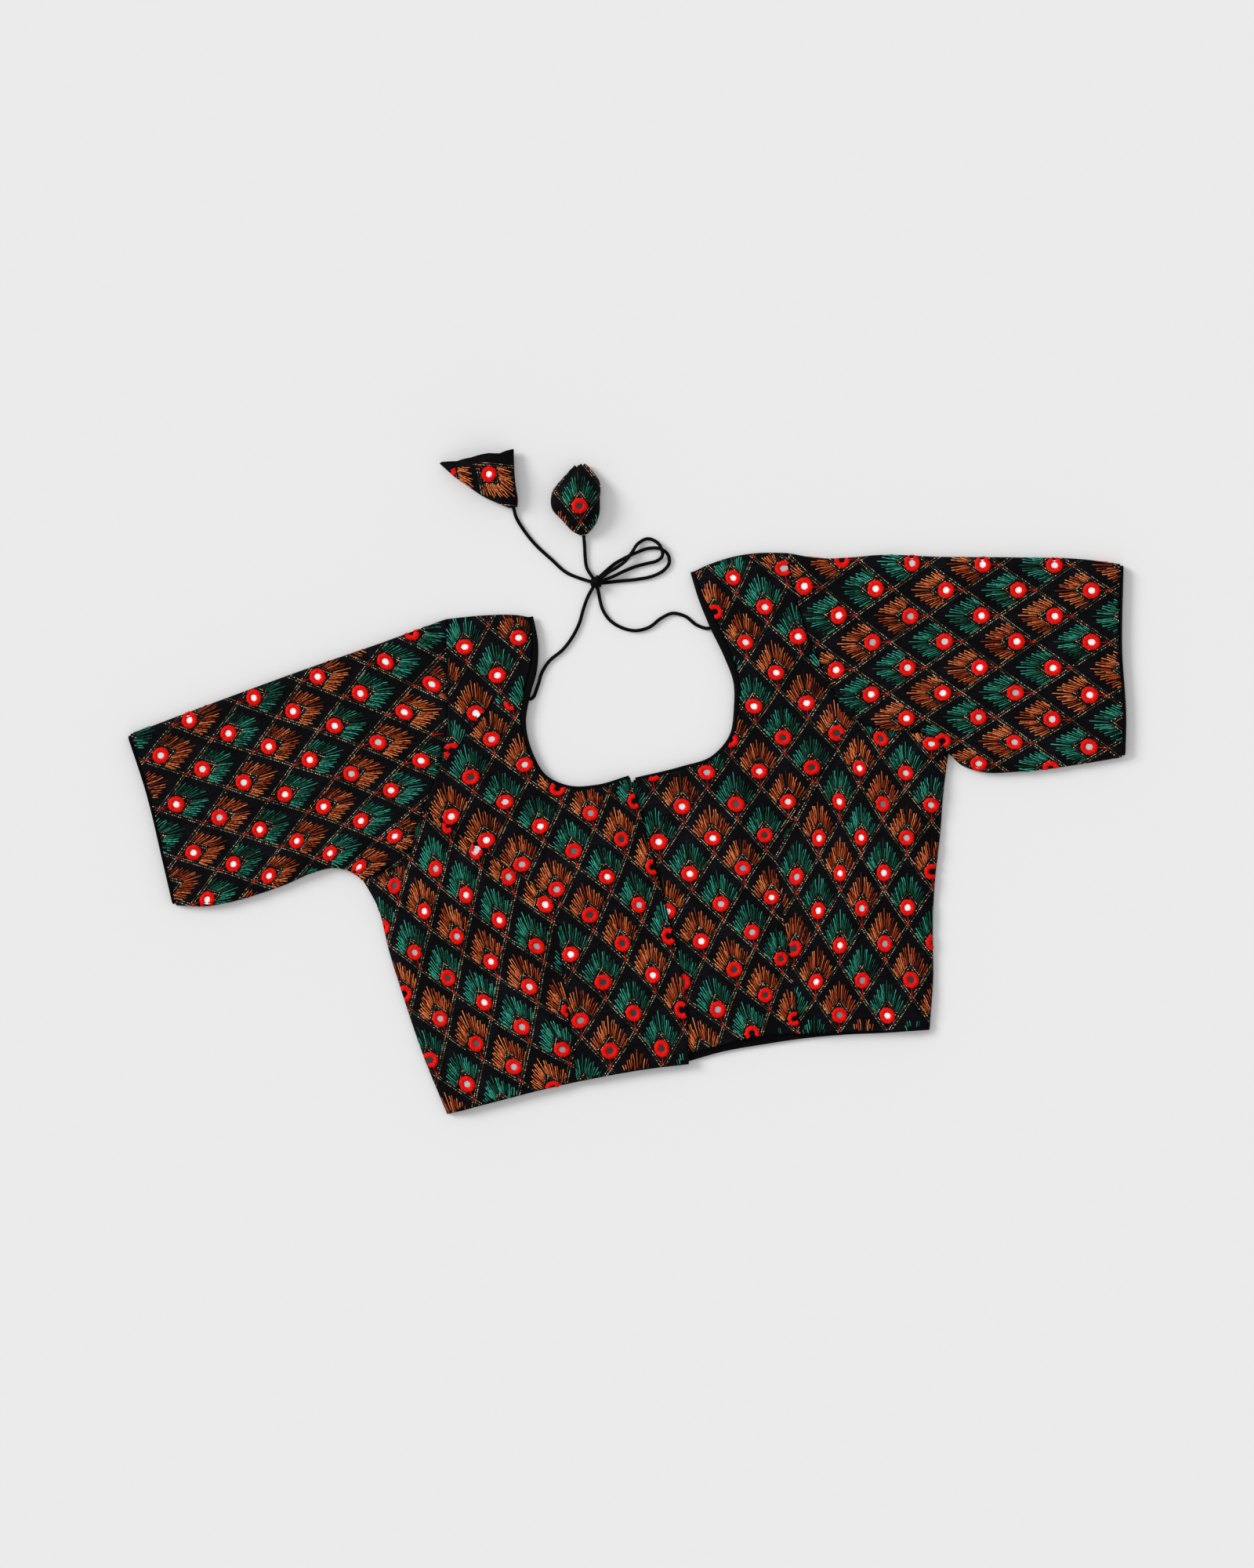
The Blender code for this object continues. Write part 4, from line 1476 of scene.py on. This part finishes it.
def swept(name: str, centre: Array, across: Any, height: Any, sides: int, ring: bool) -> Obj:
    """Sweeps a rounded section of bias silk along a line.

    Args:
        name: the piece's name.
        centre: the line's points in mm.
        across: half its width, one number or one for each point.
        height: half its height, likewise.
        sides: corners of the section.
        ring: the line is closed.

    Returns:
        The piece.
    """
    count = len(centre)
    wide, tall = (np.broadcast_to(np.asarray(v, float), (count,)) for v in (across, height))
    run = np.roll(centre, -1, axis=0) - np.roll(centre, 1, axis=0) if ring else np.gradient(centre, axis=0)
    run /= np.linalg.norm(run, axis=1)[:, None]
    level = np.cross(run, (0.0, 0.0, 1.0))
    for k in range(count):
        if np.linalg.norm(level[k]) < 0.2:
            level[k] = level[k - 1]
    level /= np.linalg.norm(level, axis=1)[:, None]
    upward = np.cross(level, run)
    turn = np.linspace(0, math.tau, sides, endpoint=False)
    rows = (
        centre[:, None]
        + (level * wide[:, None])[:, None] * np.cos(turn)[None, :, None]
        + (upward * tall[:, None])[:, None] * np.sin(turn)[None, :, None]
    )
    faces = tube_faces(count, sides, ring)
    if not ring:
        faces += [list(range(sides))[::-1], [(count - 1) * sides + i for i in range(sides)]]
    mesh = grown_mesh(name, rows.reshape(-1, 3), faces)
    bm = bmesh.new()
    bm.from_mesh(mesh)
    bmesh.ops.recalc_face_normals(bm, faces=bm.faces)
    return placed(name, written(bm, mesh), Finish.BIAS.material())


@dataclass
class NeckBinding:
    """A black bias strip turned over the neck's edge."""

    node: str
    edge: Route
    widths: tuple[float, ...]
    turn: int
    half_height: float = 0.85
    lap: float = 0.5  # how far it laps over the cloth
    rise: float = 0.15

    def build(self) -> Obj:
        """Builds the strip on its solid.

        Returns:
            The strip.
        """
        outer = smooth(self.edge, 3.0)
        width = np.interp(np.linspace(0, 1, len(outer)), np.linspace(0, 1, len(self.widths)), self.widths)
        middle = offset(outer, self.turn * (width / 2 + self.lap / 2))
        z = heights(middle, self.node, Side.TOP)
        z = np.interp(np.arange(len(z)), np.flatnonzero(~np.isnan(z)), z[~np.isnan(z)])
        centre = np.column_stack([middle, z - self.half_height + self.rise])
        piece = swept(self.node + "_rolled", centre, width / 2 + self.lap, self.half_height, 12, False)
        return part_of(piece, "black_binding", self.node)


@dataclass
class CuffBinding:
    """A narrow black edge round the cuff's mouth."""

    node: str
    cuff: Route
    turn: int
    half_width: float = 1.05
    half_height: float = 0.8
    top: float = 5.9
    bottom: float = 1.0

    def build(self) -> Obj:
        """Builds the edge.

        Returns:
            The edge.
        """
        line = offset(smooth(self.cuff, 4.0), -self.turn * self.half_width)
        run = line[1] - line[0]
        run /= np.linalg.norm(run)
        radius, middle = (self.top - self.bottom) / 2, (self.top + self.bottom) / 2
        line = spaced(line[1:-1], 4.0)
        bend = np.linspace(math.pi / 2, -math.pi / 2, 7)[1:-1]
        far, near = (
            [[*(end + way * run * radius * math.cos(a)), middle + way * radius * math.sin(a)] for a in bend]
            for end, way in ((line[-1], 1), (line[0], -1))
        )
        over = np.column_stack([line, np.full(len(line), self.top)])
        under = np.column_stack([line[::-1], np.full(len(line), self.bottom)])
        ring = np.concatenate([over, far, under, near])
        piece = swept(self.node + "_rolled", ring, self.half_width, self.half_height, 10, True)
        return part_of(piece, "black_binding", self.node)


@dataclass
class Tie:
    """A stretch of piped silk cord between two places, with its real length in metres."""

    node: str
    length: float
    route: Route
    far_end: str = "object"
    diameter: float = 2.6
    step: float = 1.6

    def build(self) -> tuple[Obj, Array]:
        """Builds the cord.

        Returns:
            The cord and its centreline in metres.
        """
        line = smooth(self.route, self.step)
        line[:, 2] = np.maximum(line[:, 2], self.diameter / 2 + 0.1)
        at = np.arange(len(line)) * self.step
        swell = 1 + 0.05 * np.array([noise.noise(Vector((a / 5.0, 0.3, len(self.node)))) for a in at])
        radius = self.diameter / 2 * swell
        piece = swept(self.node + "_piped", line, radius, radius, 10, False)
        return part_of(piece, "black_cord", self.node), line * MM

    def declare(self, piece: Obj, line: Array, with_pieces: Sequence[Obj] = ()) -> None:
        """Takes the cord and does nothing with it.

        Args:
            piece: the cord; not used.
            line: its centreline in metres; not used.
            with_pieces: what is sewn on its end; not used.
        """


@dataclass
class Tassel(Cloth):
    """A folded cone of embroidered cloth on the end of a tail.

    sections holds how far along the cone each one is, its left and right sides and its height.
    """

    wall: float = 0.8
    root: Point = (0.0, 0.0)
    sections: Route = ()
    wave: float = 2.5
    folds: float = 0.1  # depth of its four folds at the tip, as a share of its half width
    pleats: float = 0.03  # depth of the nine smaller ones
    sides: int = 56
    thinnest: float = 0.2

    def build(self) -> Obj:
        """Builds the cone.

        Returns:
            The cone.
        """
        table = smooth(self.sections, 1.8)
        turn = np.linspace(0, math.tau, self.sides, endpoint=False)
        rows = []
        for along, left, right, height in table:
            middle, half = (left + right) / 2, max((right - left) / 2, 0.5)
            share = along / table[-1, 0]
            ripple = 1 + self.folds * share**2 * np.cos(4 * turn) + self.pleats * share * np.cos(9 * turn + 1)
            x = self.root[0] + middle + half * np.cos(turn) * ripple
            y = self.root[1] + along + self.wave * share**2 * np.cos(4 * turn + 1)
            z = np.maximum(height / 2 * (1 + np.sin(turn) * ripple), self.floor)
            rows.append(np.column_stack([x, y, z]))
        points = np.concatenate(rows)
        points[:, 2] += 0.35 * cloud(points[:, :2], 7.0, 3.3) * (points[:, 2] > 2)
        faces = [*tube_faces(len(rows), self.sides, False), list(range(self.sides))[::-1]]
        mesh = grown_mesh(self.node, points, faces)
        bm = bmesh.new()
        bm.from_mesh(mesh)
        bmesh.ops.recalc_face_normals(bm, faces=bm.faces)
        bm.normal_update()
        centre = points[:, 2].mean() * MM
        outward = sum(f.normal.z * f.calc_area() * (f.calc_center_median().z - centre) for f in bm.faces)
        if outward < 0:
            bmesh.ops.reverse_faces(bm, faces=bm.faces)
        cloth = self.thickened(written(bm, mesh))
        for inner in cloth.data.vertices[len(points) :]:
            inner.co.z = max(inner.co.z, (self.floor + self.thinnest) * MM)
        return cloth


# Tables of the cut, as the solids have them, in mm
ARMHOLE_LEFT = [
    (-230, 0), (-210, 4), (-193, 11), (-181, 35), (-167, 56),
    (-153, 81), (-143, 111), (-138, 139), (-134, 166), (-131, 185),
]
ARMHOLE_RIGHT = [
    (229, 14), (222, 27), (208, 34), (192, 38.5), (170, 47), (155, 61),
    (149, 84), (142, 109), (137, 139), (135, 165), (136, 187),
]
NECK_LEFT = [
    (-65, 175), (-65, 154), (-69.5, 134), (-79, 114), (-85, 97),
    (-84, 71), (-77, 53), (-62, 42.5), (-40, 39), (-15, 41.5),
]
NECK_RIGHT = [
    (60, 186), (62, 167), (67, 142), (74, 116), (77, 97),
    (74, 79), (66, 57), (50, 44.5), (26, 41), (-10.5, 39),
]
SLEEVE_TOP_LEFT = [(-131, 185), (-187, 175.5), (-237, 168), (-300, 157.5), (-387, 142)]
SLEEVE_LOW_LEFT = [
    (-230, 0), (-238, 8), (-250, 13), (-266, 12.5), (-288, 7.5),
    (-310, 4), (-329, 2), (-350, 2), (-376.5, 7.5),
]
CUFF_LEFT = [(-376.5, 7.5), (-378, 41), (-381, 97), (-387, 142)]
SLEEVE_TOP_RIGHT = [
    (136, 187), (158, 179), (182, 175), (203, 173),
    (250, 163), (309, 151.5), (356, 141.5), (387, 131.5),
]
SLEEVE_LOW_RIGHT = [(229, 14), (237, 3), (250, -4.5), (279, -10), (327, -13), (361.5, -13.5)]
CUFF_RIGHT = [(361.5, -13.5), (367.5, 15), (374, 67), (387, 131.5)]
TASSEL_SECTIONS_LEFT = [
    (0, -3, 3, 6), (5, -11, 4.4, 9), (12, -21, 4.5, 12), (21, -30, 4.6, 14.5), (31, -39, 5, 15),
    (43, -47, 5.4, 12),
]
TASSEL_SECTIONS_RIGHT = [
    (0, -3, 3, 6), (4, -8, 8.5, 9), (13, -13.8, 14.6, 13.5), (24, -20, 16.8, 16.5),
    (35, -17.5, 18.6, 16), (44, -8, 15.4, 13), (52, 3, 10.6, 9),
]

# Each region's third number is the share of its mirrors that get a painted white reflection.
LEFT = Region(
    "left", False, 0.3,
    (
        (-97.5, -200), (-89, -40), (-178, 49), (-190, 62), (-153.7, 75.9), (-129.6, 95.7),
        (-102, 121), (-84, 101), (-50, 101), (10, 60), (10, -200),
    ),
    (
        (-25.4, -57.4), (16.4, 26.6), (-19.1, 26.6), (-1.157, 0.25), (0.748, -0.363),
        (-0.907, -1.01), (0.018, 0.03), (0.257, -0.195), (0.015, 0.058), (0.075, 0.097),
    ),
)
LEFT_STRAP = Region(
    "left_strap", False, 0.9,
    (
        (-190, 62), (-153.7, 75.9), (-129.6, 95.7), (-102, 121), (-84, 101), (-50, 101),
        (-50, 200), (-150, 200),
    ),
    ((-99.8, 134.9), (21.2, 25.4), (-20.7, 26.5), (-0.6, 0.1)),
)
LEFT_SIDE = Region(
    "left_side", True, 0.3,
    ((-97.5, -200), (-89, -40), (-178, 49), (-190, 62), (-250, 40), (-250, -200)),
    (
        (-144.4, -79.5), (11.5, 29.8), (-23.7, 23.9), (0.227, 0.261), (0.612, 0.456),
        (1.114, -0.023), (0.093, 0.058), (0.093, 0.034), (0.243, -0.177), (-0.039, -0.037),
    ),
)
RIGHT = Region(
    "right", False, 0.35,
    (
        (77.6, -200), (84, -35), (165, 56), (180, 75), (160, 200), (40, 200), (40, 90),
        (-30, 60), (-50, -200),
    ),
    (
        (36.7, -67.7), (20.7, 24.4), (-19.4, 26.4), (0.283, -1.026), (1.503, 0.155),
        (-0.216, 0.669), (-0.001, 0.129), (-0.22, -0.028), (-0.105, -0.084), (0.108, -0.029),
    ),
)
RIGHT_SIDE = Region(
    "right_side", False, 0.3,
    ((77.6, -200), (84, -35), (165, 56), (180, 75), (250, 60), (220, -210)),
    (
        (163.2, -67.3), (21.6, 23.6), (-12.5, 29.5), (0.29, -0.429), (-0.996, -0.39),
        (0.617, 0.042), (0.139, -0.095), (-0.288, -0.3), (0.11, 0.155), (-0.139, 0.07),
    ),
)
SLEEVE_LEFT = Region(
    "sleeve_left", True, 0.8,
    ((-400, -20), (-400, 200), (-110, 200), (-110, -20)),
    (
        (-305.3, 90.6), (29.3, -15.1), (23.6, 23.1), (-0.29, 0.13), (-0.312, -0.303),
        (-0.131, -0.008), (-0.109, -0.06), (0.524, -0.294), (-0.031, -0.175), (0.018, -0.028),
    ),
)
SLEEVE_RIGHT = Region(
    "sleeve_right", True, 0.7,
    ((400, -30), (400, 200), (110, 200), (110, -30)),
    (
        (295.6, 88.1), (-23.4, 24.5), (-31.7, -14.2), (0.261, -0.164), (0.416, -0.296),
        (0.129, 0.001), (0.009, 0.081), (-0.035, 0.117), (-0.159, -0.143), (0.014, 0.029),
    ),
)
BACK = Region(
    "back", True, 0.5,
    ((-250, -210), (-250, 200), (250, 200), (250, -210)),
    ((0, -60), (19.6, 26.7), (-19.6, 26.7)),
)
TASSEL_LEFT = Region(
    "tassel_left", True, 1.0,
    ((-125, 250), (-125, 297), (-60, 297), (-55, 250)),
    ((-78.1, 287.2), (0.7, -31.3), (30.3, -7.7)),
)
TASSEL_RIGHT = Region(
    "tassel_right", False, 0.2,
    ((-45, 225), (-45, 290), (12, 290), (12, 225)),
    ((-14.1, 250.7), (22.1, 22.3), (-15.6, 27.2)),
)

CREASES_LEFT = (
    Crease(-172, 43, -89, -40, 2.2, -0.9),
    Crease(-89, -40, -97, -182, 2.2, -0.9),
    Crease(-150, 78, -100, 118, 3.0, -0.9),
    Crease(-200, 6, -165, -34, 4, 1.9),
    Crease(-190, 22, -152, -6, 4, -1.4),
    Crease(-214, -30, -190, -64, 5, 1.3),
    Crease(-176, -60, -150, -110, 6, 0.9),
    Crease(-60, -20, -30, -90, 7, 0.8),
    Crease(-84, 70, -60, 30, 5, 0.7),
)
CREASES_RIGHT = (
    Crease(160, 51, 84, -35, 2.2, -0.9),
    Crease(84, -35, 78, -177, 2.2, -0.9),
    Crease(140, -64, 142, -92, 4, 1.4),
    Crease(196, 20, 162, 2, 4, 1.9),
    Crease(208, 4, 176, -22, 4, -1.3),
    Crease(204, -20, 186, -54, 5, 1.3),
    Crease(30, -20, 44, -80, 7, 0.8),
    Crease(70, 60, 40, 20, 5, 0.6),
)

# The bow's knot, and the heights of a cord that lies low, leaves the knot or crosses another, in mm
KNOT = (-12.4, 191.6, 3.9)
LOW = 1.4
LEAVING = 2.6
CROSSING = 4.5


@dataclass
class Bow:
    """The back ties: two strings, two loops, two tails and the knot."""

    radii: tuple[float, float, float] = (5.2, 4.8, 3.5)
    rim: Point = (5.5, 5.2)  # its half width and length where the cords leave it
    tucked: float = 1.5  # how far a cord's end lies inside the knot

    def side(self, angle: float, z: float) -> tuple[float, float, float]:
        """Where a cord leaves the knot.

        Args:
            angle: its direction in degrees.
            z: its height.

        Returns:
            A place in mm, just inside the knot.
        """
        a = math.radians(angle)
        reach = 1 / math.hypot(math.cos(a) / self.rim[0], math.sin(a) / self.rim[1]) - self.tucked
        return (KNOT[0] + reach * math.cos(a), KNOT[1] + reach * math.sin(a), z)

    def root(self, neck: Route, y: float, turn: int) -> Route:
        """Where a string is sewn to the back's neck edge, hidden by the front's.

        Args:
            neck: the neck's edge.
            y: the height of the place.
            turn: 1 for the left half and -1 for the right.

        Returns:
            The string's first two points.
        """
        edge = offset(smooth(neck, 11.0), -turn * 3.0)
        k = int(np.argmin(abs(edge[:, 1] - y)))
        step = edge[k + 1] - edge[k - 1]
        out = np.array([-step[1], step[0]]) / np.linalg.norm(step) * turn
        return [(*(edge[k] + out * reach), LOW) for reach in (0.5, 3.64)]

    def ties(self) -> list[Tie]:
        """The stretches of cord, along the routes of the solids.

        Returns:
            The ties.
        """
        string_left = [
            (-70.8, 122.4), (-66.8, 130.2), (-59.8, 138.3), (-46.7, 146), (-38.3, 153.7), (-31, 163.3),
            (-26, 173.3), (-20.9, 182),
        ]
        string_right = [
            (57.5, 145.3), (49.7, 153.8), (40.3, 157.8), (31.4, 155.6), (21.1, 150.5), (10.1, 149.9),
            (1.4, 153.4), (-7.6, 161.4), (-11.6, 171), (-12.2, 179),
        ]
        tail_left = [
            (-24.5, 197.2, LOW), (-33.1, 202.8, LOW), (-43.2, 215.4, LOW), (-53.8, 229.8, LOW),
            (-60.1, 241.8, LOW), (-64, 253, 1.8), (-64.4, 259.1, 2.9), (-66.3, 265.5, 3.8),
            (-69.5, 271.5, 4.6),
        ]
        tail_upper = [(-17.6, 204, LOW), (-17.4, 212, LOW), (-16.2, 221, 1.8), (-15.4, 228.9, 2.9)]
        loop_outer = [
            (-3.6, 199), (4.3, 203.3), (12.6, 206.2), (21.7, 208.5), (32.1, 210), (41, 207.8), (45.6, 202),
            (45.2, 196.2), (40.4, 191.6), (31.3, 188.6), (18.9, 188.3), (3, 189.6),
        ]
        loop_inner = [
            (-1.5, 197.6, CROSSING), (5.8, 200.2, CROSSING), (12.1, 203.4, CROSSING),
            (18.4, 209, CROSSING), (24.6, 215.2, 2.2), (32.5, 217.4, LOW), (38.4, 213.8, 2.6),
            (41.4, 207.6, CROSSING), (40.8, 202, 2.4), (36, 199.4, LOW), (29, 198.9, LOW),
            (20, 198.2, LOW), (10, 196.2, 2.6), (1.5, 193.8, CROSSING),
        ]
        string_left, string_right, loop_outer = (
            [(x, y, LOW) for x, y in line] for line in (string_left, string_right, loop_outer)
        )
        left_root, right_root = self.root(NECK_LEFT, 117, 1), self.root(NECK_RIGHT, 141, -1)
        return [
            Tie("string_left", 0.1, [*left_root, *string_left, self.side(-136, LEAVING)]),
            Tie("string_right", 0.111, [*right_root, *string_right, self.side(-86, LEAVING)]),
            Tie("tail_left", 0.099, [self.side(163, LEAVING), *tail_left], "fitting"),
            Tie("tail_upper", 0.035, [self.side(119, LEAVING), *tail_upper], "fitting"),
            Tie("loop_outer", 0.125, [self.side(56, LOW), *loop_outer, self.side(-18, LOW)]),
            Tie("loop_inner", 0.121, [self.side(36, CROSSING), *loop_inner, self.side(4, CROSSING)]),
        ]

    def knot(self) -> Obj:
        """The knot: turns of cord drawn up tight.

        Returns:
            The knot.
        """
        bm = bmesh.new()
        bmesh.ops.create_icosphere(bm, subdivisions=4, radius=1.0)
        for v in bm.verts:
            ribs = 0.07 * math.sin(9 * v.co.x + 4 * v.co.y) + 0.10 * noise.noise(v.co * 2.1)
            v.co = Vector(v.co[:]) * (0.93 + ribs)
            x, y, z = (radius * c + middle for radius, c, middle in zip(self.radii, v.co, KNOT))
            v.co = Vector((x, y, max(z, 0.3))) * MM
        turn = np.linspace(0, math.tau, 40, endpoint=False)
        over = np.column_stack(
            [KNOT[0] + 1.1 * np.cos(turn) + 0.5, KNOT[1] + 4.2 * np.cos(turn), 4.1 + 2.65 * np.sin(turn)]
        )
        wrap = swept("bow_knot_wrap", over, 1.35, 1.15, 10, True)
        bm.from_mesh(wrap.data)
        bpy.data.objects.remove(wrap)
        mesh = written(bm, bpy.data.meshes.new("bow_knot_drawn"))
        mesh.shade_smooth()
        return part_of(placed("bow_knot_drawn", mesh, Finish.BIAS.material()), "black_cord", "bow_knot")

    def build(self) -> list[tuple[Tie, Obj, Array]]:
        """Builds the knot and the cords.

        Returns:
            Each tie with its cord and the cord's centreline in metres.
        """
        self.knot()
        return [(tie, *tie.build()) for tie in self.ties()]


@dataclass(frozen=True)
class Studio:
    """The floor, the light and the camera over them."""

    lens: float = 100.0  # mm
    sensor: float = 36.0  # mm
    cloth_top: float = 0.006  # metres; the photograph's frame is measured at this height
    half_floor: float = 6000.0  # mm; half the paper's width
    sun_towards: tuple[float, float, float] = (0.8, -0.56, -0.55)
    sun_width: float = 24.0  # degrees, as seen from the cloth; wide, so that the shadow is soft
    sun_power: float = 2.2
    sky_power: float = 0.66

    def camera(self) -> None:
        """Sets the camera straight over the cloth, with the photograph's frame."""
        data = bpy.data.cameras.new("camera")
        data.lens = self.lens
        data.sensor_width = data.sensor_height = self.sensor
        data.sensor_fit = "AUTO"
        data.clip_end = 20.0
        camera = bpy.data.objects.new("camera", data)
        camera.location = (*VIEW_CENTRE, VIEW_HEIGHT * self.lens / self.sensor + self.cloth_top)
        camera.rotation_euler = (0, 0, math.radians(VIEW_TURN))
        bpy.context.scene.collection.objects.link(camera)
        bpy.context.scene.camera = camera

    def floor(self) -> None:
        """Lays the studio paper under the blouse."""
        square = np.array([(-1, -1, 0), (1, -1, 0), (1, 1, 0), (-1, 1, 0)])
        paper = grown_mesh("paper", square * self.half_floor, [[0, 1, 2, 3]])
        placed("studio_paper", paper, Finish.PAPER.material())

    def sun(self) -> None:
        """Hangs a large soft light far off."""
        data = bpy.data.lights.new("key", "SUN")
        data.angle = math.radians(self.sun_width)
        data.energy = self.sun_power
        lamp = bpy.data.objects.new("key", data)
        lamp.rotation_euler = Vector(self.sun_towards).to_track_quat("-Z", "Y").to_euler()
        lamp.location = (-1.0, 1.0, 2.0)
        bpy.context.scene.collection.objects.link(lamp)

    def sky(self) -> None:
        """Lights the cloth evenly from all round."""
        world = bpy.data.worlds.new("studio")
        world.use_nodes = True
        back = world.node_tree.nodes["Background"].inputs
        back["Color"].default_value = linear("ffffff")
        back["Strength"].default_value = self.sky_power
        bpy.context.scene.world = world
        bpy.context.scene.view_settings.view_transform = "Standard"

    def build(self) -> None:
        """Builds the studio."""
        self.camera()
        self.floor()
        self.sun()
        self.sky()


# The pieces, and the regions and sides that are stitched on each cloth
PIECES = (
    Cloth("back", uneven=0.0, wall=0.9, step=6.0),
    Cloth("front_left", creases=CREASES_LEFT, corners=((-14.2, 40.2),)),
    Cloth("front_right", creases=CREASES_RIGHT, corners=((-12.0, 37.6),)),
    Cloth("hem_facing", Finish.BIAS, "black_binding", 3.0, 0.7, uneven=0.1),
    Sleeve(
        "sleeve_left", armhole=ARMHOLE_LEFT, cuff=CUFF_LEFT, low=SLEEVE_LOW_LEFT, high=SLEEVE_TOP_LEFT, turn=1
    ),
    Sleeve(
        "sleeve_right", armhole=ARMHOLE_RIGHT, cuff=CUFF_RIGHT, low=SLEEVE_LOW_RIGHT, high=SLEEVE_TOP_RIGHT,
        turn=-1,
    ),
    NeckBinding("neck_binding_left", NECK_LEFT, (3.0, 5.5, 2.6, 1.6, 1.4), -1),
    NeckBinding("neck_binding_right", NECK_RIGHT, (3.0, 6.5, 3.4, 1.6, 1.4), 1),
    CuffBinding("cuff_binding_left", CUFF_LEFT, 1),
    CuffBinding("cuff_binding_right", CUFF_RIGHT, -1),
    Tassel("tassel_left", root=(-64.4, 259.6), wave=0.9, sections=TASSEL_SECTIONS_LEFT),
    Tassel("tassel_right", root=(-15.4, 229.4), wave=1.3, sections=TASSEL_SECTIONS_RIGHT),
)
SEWING = {
    "front_left": ((LEFT, LEFT_STRAP, LEFT_SIDE), (Side.TOP,)),
    "front_right": ((RIGHT, RIGHT_SIDE), (Side.TOP,)),
    "sleeve_left": ((SLEEVE_LEFT,), tuple(Side)),
    "sleeve_right": ((SLEEVE_RIGHT,), tuple(Side)),
    "back": ((BACK,), (Side.UNDER,)),
    "tassel_left": ((TASSEL_LEFT,), tuple(Side)),
    "tassel_right": ((TASSEL_RIGHT,), tuple(Side)),
}


def main() -> None:
    """Builds the blouse and its studio."""
    logging.basicConfig(level=logging.INFO, format="%(name)s: %(message)s")
    cords = Bow().build()
    built = {piece.node: piece.build() for piece in PIECES}
    embroiderer = Embroiderer()
    sewn = {name: embroiderer.dress(name, built[name], *work) for name, work in SEWING.items()}
    hung = {"tail_left": [built["tassel_left"]], "tail_upper": [built["tassel_right"]]}
    for tie, piece, line in cords:
        tie.declare(piece, line, hung.get(tie.node, ()))
    Studio().build()


if __name__ == "__main__":
    main()
